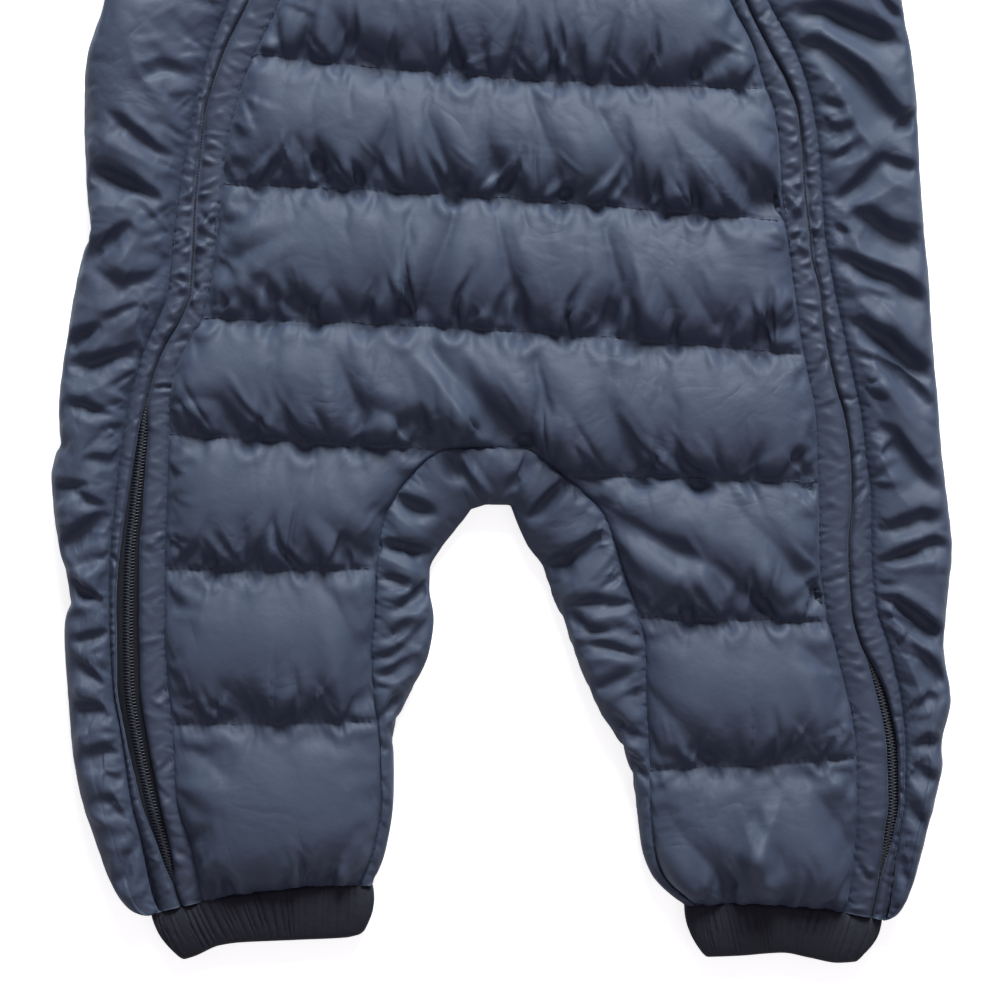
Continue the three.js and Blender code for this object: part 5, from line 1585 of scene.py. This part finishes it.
# A new material with its tones, and the parts of it that the rest is joined to
def startMaterial(name, look):
    made = bpy.data.materials.new(name)
    made.use_nodes = True
    tree = made.node_tree
    shader = tree.nodes["Principled BSDF"]
    tone = useGroup(tree, "tone", {key: look[key] for key in ("Light", "Dark", "Rough", "Spread")})
    tree.links.new(tone.outputs["Roughness"], shader.inputs["Roughness"])
    shader.inputs["Specular IOR Level"].default_value = look["specular"]
    place = tree.nodes.new("ShaderNodeTexCoord").outputs["Object"]
    return made, tree, shader, tone.outputs["Color"], place


def clothMaterial(name, look):
    made, tree, shader, colour, place = startMaterial(name, look)
    tree.links.new(colour, shader.inputs["Base Color"])
    shader.inputs["Sheen Weight"].default_value = look["sheen"]
    shader.inputs["Sheen Roughness"].default_value = 0.35
    shader.inputs["Sheen Tint"].default_value = look["sheenTint"]
    weave = useGroup(tree, "weave", {"Pitch": look["pitch"]})
    normal = bumpNode(tree, weave.outputs["Height"], look["weaveDepth"])
    if "creases" in look:
        creases = useGroup(tree, "creases", look["creases"])
        normal = bumpNode(tree, creases.outputs["Height"], look["creaseDepth"], normal)
    normal = bumpNode(tree, noiseNode(tree, place, look["rumple"], 3.0, 0.55), look["rumpleDepth"], normal)
    tree.links.new(normal, shader.inputs["Normal"])
    return made


# What the padded pieces and the welts share: a thin coated nylon
coated = {
    "Spread": 0.14,
    "specular": 0.32,
    "sheen": 0.2,
    "sheenTint": (0.55, 0.65, 0.9, 1),
    "pitch": 0.00042,
    "weaveDepth": 0.000012,
    "rumpleDepth": 0.0003,
}
looks = {
    "nylon": {
        **coated,
        "Light": (0.054, 0.072, 0.115, 1),
        "Dark": (0.050, 0.060, 0.104, 1),
        "Rough": 0.58,
        "creases": {"Scale": 30.0, "Width": 0.2},
        "creaseDepth": 0.00055,
        "rumple": 150.0,
    },
    # The welts are the same coated nylon. Their tones are a little darker than the nylon's: painted shade for
    # the sunken strips beside the zip.
    "welt": {
        **coated,
        "Light": (0.050, 0.064, 0.103, 1),
        "Dark": (0.045, 0.054, 0.092, 1),
        "Rough": 0.56,
        "rumple": 180.0,
    },
    # The cuff tones are far darker than the nylon's. The cuff cloth itself is a little darker, and the rest
    # is painted shade for the shadow the cuffs lie in, away from the key light.
    "cuff": {
        "Light": (0.0145, 0.0155, 0.027, 1),
        "Dark": (0.0105, 0.0115, 0.021, 1),
        "Rough": 0.66,
        "Spread": 0.12,
        "specular": 0.35,
        "sheen": 0.2,
        "sheenTint": (0.5, 0.55, 0.75, 1),
        "pitch": 0.0006,
        "weaveDepth": 0.00003,
        "rumple": 260.0,
        "rumpleDepth": 0.0004,
    },
    "tape": {
        "Light": (0.016, 0.018, 0.026, 1),
        "Dark": (0.010, 0.011, 0.017, 1),
        "Rough": 0.8,
        "Spread": 0.1,
        "specular": 0.25,
        "sheen": 0.1,
        "sheenTint": (0.6, 0.65, 0.8, 1),
        "pitch": 0.0011,
        "weaveDepth": 0.0001,
        "rumple": 400.0,
        "rumpleDepth": 0.0001,
    },
}


# Thread, moulded plastic and painted metal have a fine grain. Metal may be worn bare at its edges.
def hardMaterial(name, look):
    made, tree, shader, colour, place = startMaterial(name, look)
    shader.inputs["Metallic"].default_value = look["metallic"]
    if "wear" in look:
        bright = tree.nodes.new("ShaderNodeNewGeometry").outputs["Pointiness"]
        edge = mathNode(tree, "MULTIPLY", mathNode(tree, "SUBTRACT", bright, 0.53), 9.0)
        edge = mathNode(tree, "MINIMUM", mathNode(tree, "MAXIMUM", edge, 0.0), look["wear"])
        blend = addNode(tree, "ShaderNodeMix", data_type="RGBA")
        blend.inputs[7].default_value = look["bare"]
        tree.links.new(edge, blend.inputs[0])
        tree.links.new(colour, blend.inputs[6])
        colour = blend.outputs[2]
    tree.links.new(colour, shader.inputs["Base Color"])
    normal = bumpNode(tree, noiseNode(tree, place, look["grain"], 2.0), look["grainDepth"])
    tree.links.new(normal, shader.inputs["Normal"])
    return made


hardLooks = {
    "thread": {
        "Light": (0.044, 0.055, 0.092, 1),
        "Dark": (0.034, 0.042, 0.074, 1),
        "Rough": 0.55,
        "Spread": 0.2,
        "metallic": 0.0,
        "specular": 0.4,
        "grain": 2500.0,
        "grainDepth": 0.0001,
    },
    "coil": {
        "Light": (0.019, 0.023, 0.038, 1),
        "Dark": (0.011, 0.013, 0.022, 1),
        "Rough": 0.42,
        "Spread": 0.2,
        "metallic": 0.0,
        "specular": 0.4,
        "grain": 1800.0,
        "grainDepth": 0.00004,
    },
    "metal": {
        "Light": (0.035, 0.037, 0.045, 1),
        "Dark": (0.022, 0.023, 0.03, 1),
        "Rough": 0.38,
        "Spread": 0.2,
        "metallic": 0.6,
        "specular": 0.5,
        "wear": 0.6,
        "bare": (0.35, 0.35, 0.36, 1),
        "grain": 900.0,
        "grainDepth": 0.00003,
    },
}
materials = {name: clothMaterial(name, look) for name, look in looks.items()}
materials.update({name: hardMaterial(name, look) for name, look in hardLooks.items()})

print("cloth simulation")
puffUp()
for entry in clothPieces:
    refine(entry)
print("fine folds done")


def place(piece, material, slot, node=None):
    piece.data.materials.clear()
    piece.data.materials.append(materials[material])
    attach(piece, "suit")
    if node:
        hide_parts(node)


# The piece that a band lies on
def restsOn(node):
    words = node.split("_")
    if words[0] == "welt":
        return f"zip_{words[1]}_tape"
    if words[0] == "zip":
        return "back_shell"
    return f"sleeve_{words[2]}_shell" if words[1] == "wrist" else "front_shell"


for entry in clothPieces:
    piece = entry["piece"]
    place(piece, "nylon", "shell", piece.name.replace("_shell", ""))
# Each band gets its material and joins the suit, and its part from model.glb is hidden.
for pieces, material, slot, held in (
    (weltPieces, "welt", "welt", "folded"),
    (cuffPieces, "cuff", "cuff", "gathered"),
    (tapePieces, "tape", "zip_tape", "laid"),
):
    for piece in pieces:
        node = piece.name.rsplit("_", 1)[0]
        place(piece, material, slot, node)
        restsOn(node)
for piece in coilPieces:
    place(piece, "coil", "zip_tape")
for piece in threadPieces:
    place(piece, "thread", "shell")
for name in ("slider_right", "slider_left", "pull_right", "pull_left"):
    for filled in bpy.data.objects[name].material_slots:
        filled.material = materials["metal"]

print("floor, camera and lights")
stage = {
    "floor": {"half": 3.0, "colour": (0.9, 0.9, 0.9, 1), "rough": 0.9, "specular": 0.1, "glow": 0.75},
    "lens": 100,
    "height": 1.19,
    "aim": 0.002,
    "lamps": {
        "key": {"at": (0.3, 1.7, 1.05), "size": 0.9, "power": 71, "colour": (0.93, 1.0, 0.99)},
        "fill": {"at": (0.5, -1.0, 2.0), "size": 2.0, "power": 6, "colour": (1.0, 0.9, 1.0)},
    },
    "world": {"colour": (1.0, 0.93, 1.0, 1), "strength": 0.2},
}
scene = bpy.context.scene
ground = stage["floor"]
half = ground["half"]
floor = bpy.data.objects.new("floor", bpy.data.meshes.new("floor"))
corners = [(-half, -half, 0), (half, -half, 0), (half, half, 0), (-half, half, 0)]
floor.data.from_pydata(corners, [], [(0, 1, 2, 3)])
scene.collection.objects.link(floor)
floorMaterial = bpy.data.materials.new("floor")
floorMaterial.use_nodes = True
tree = floorMaterial.node_tree
shader = tree.nodes["Principled BSDF"]
shader.inputs["Base Color"].default_value = ground["colour"]
shader.inputs["Roughness"].default_value = ground["rough"]
shader.inputs["Specular IOR Level"].default_value = ground["specular"]
# The camera sees the floor a little brighter than it lights the cloth, as on a light table.
seen = tree.nodes.new("ShaderNodeLightPath")
shader.inputs["Emission Color"].default_value = (1, 1, 1, 1)
glow = mathNode(tree, "MULTIPLY", seen.outputs["Is Camera Ray"], ground["glow"])
tree.links.new(glow, shader.inputs["Emission Strength"])
floor.data.materials.append(floorMaterial)

camera = bpy.data.objects.new("camera", bpy.data.cameras.new("camera"))
scene.collection.objects.link(camera)
camera.data.lens = stage["lens"]
camera.location = (0, lay["crotchY"] + stage["aim"], stage["height"])
scene.camera = camera
for name, light in stage["lamps"].items():
    lamp = bpy.data.objects.new(name, bpy.data.lights.new(name, "AREA"))
    scene.collection.objects.link(lamp)
    lamp.data.energy = light["power"]
    lamp.data.size = light["size"]
    lamp.data.color = light["colour"]
    lamp.location = light["at"]
    toward = Vector((0, lay["crotchY"], 0)) - lamp.location
    lamp.rotation_euler = toward.to_track_quat("-Z", "Y").to_euler()
world = bpy.data.worlds.new("world")
world.use_nodes = True
sky = world.node_tree.nodes["Background"]
sky.inputs["Color"].default_value = stage["world"]["colour"]
sky.inputs["Strength"].default_value = stage["world"]["strength"]
scene.world = world
scene.view_settings.view_transform = "Standard"
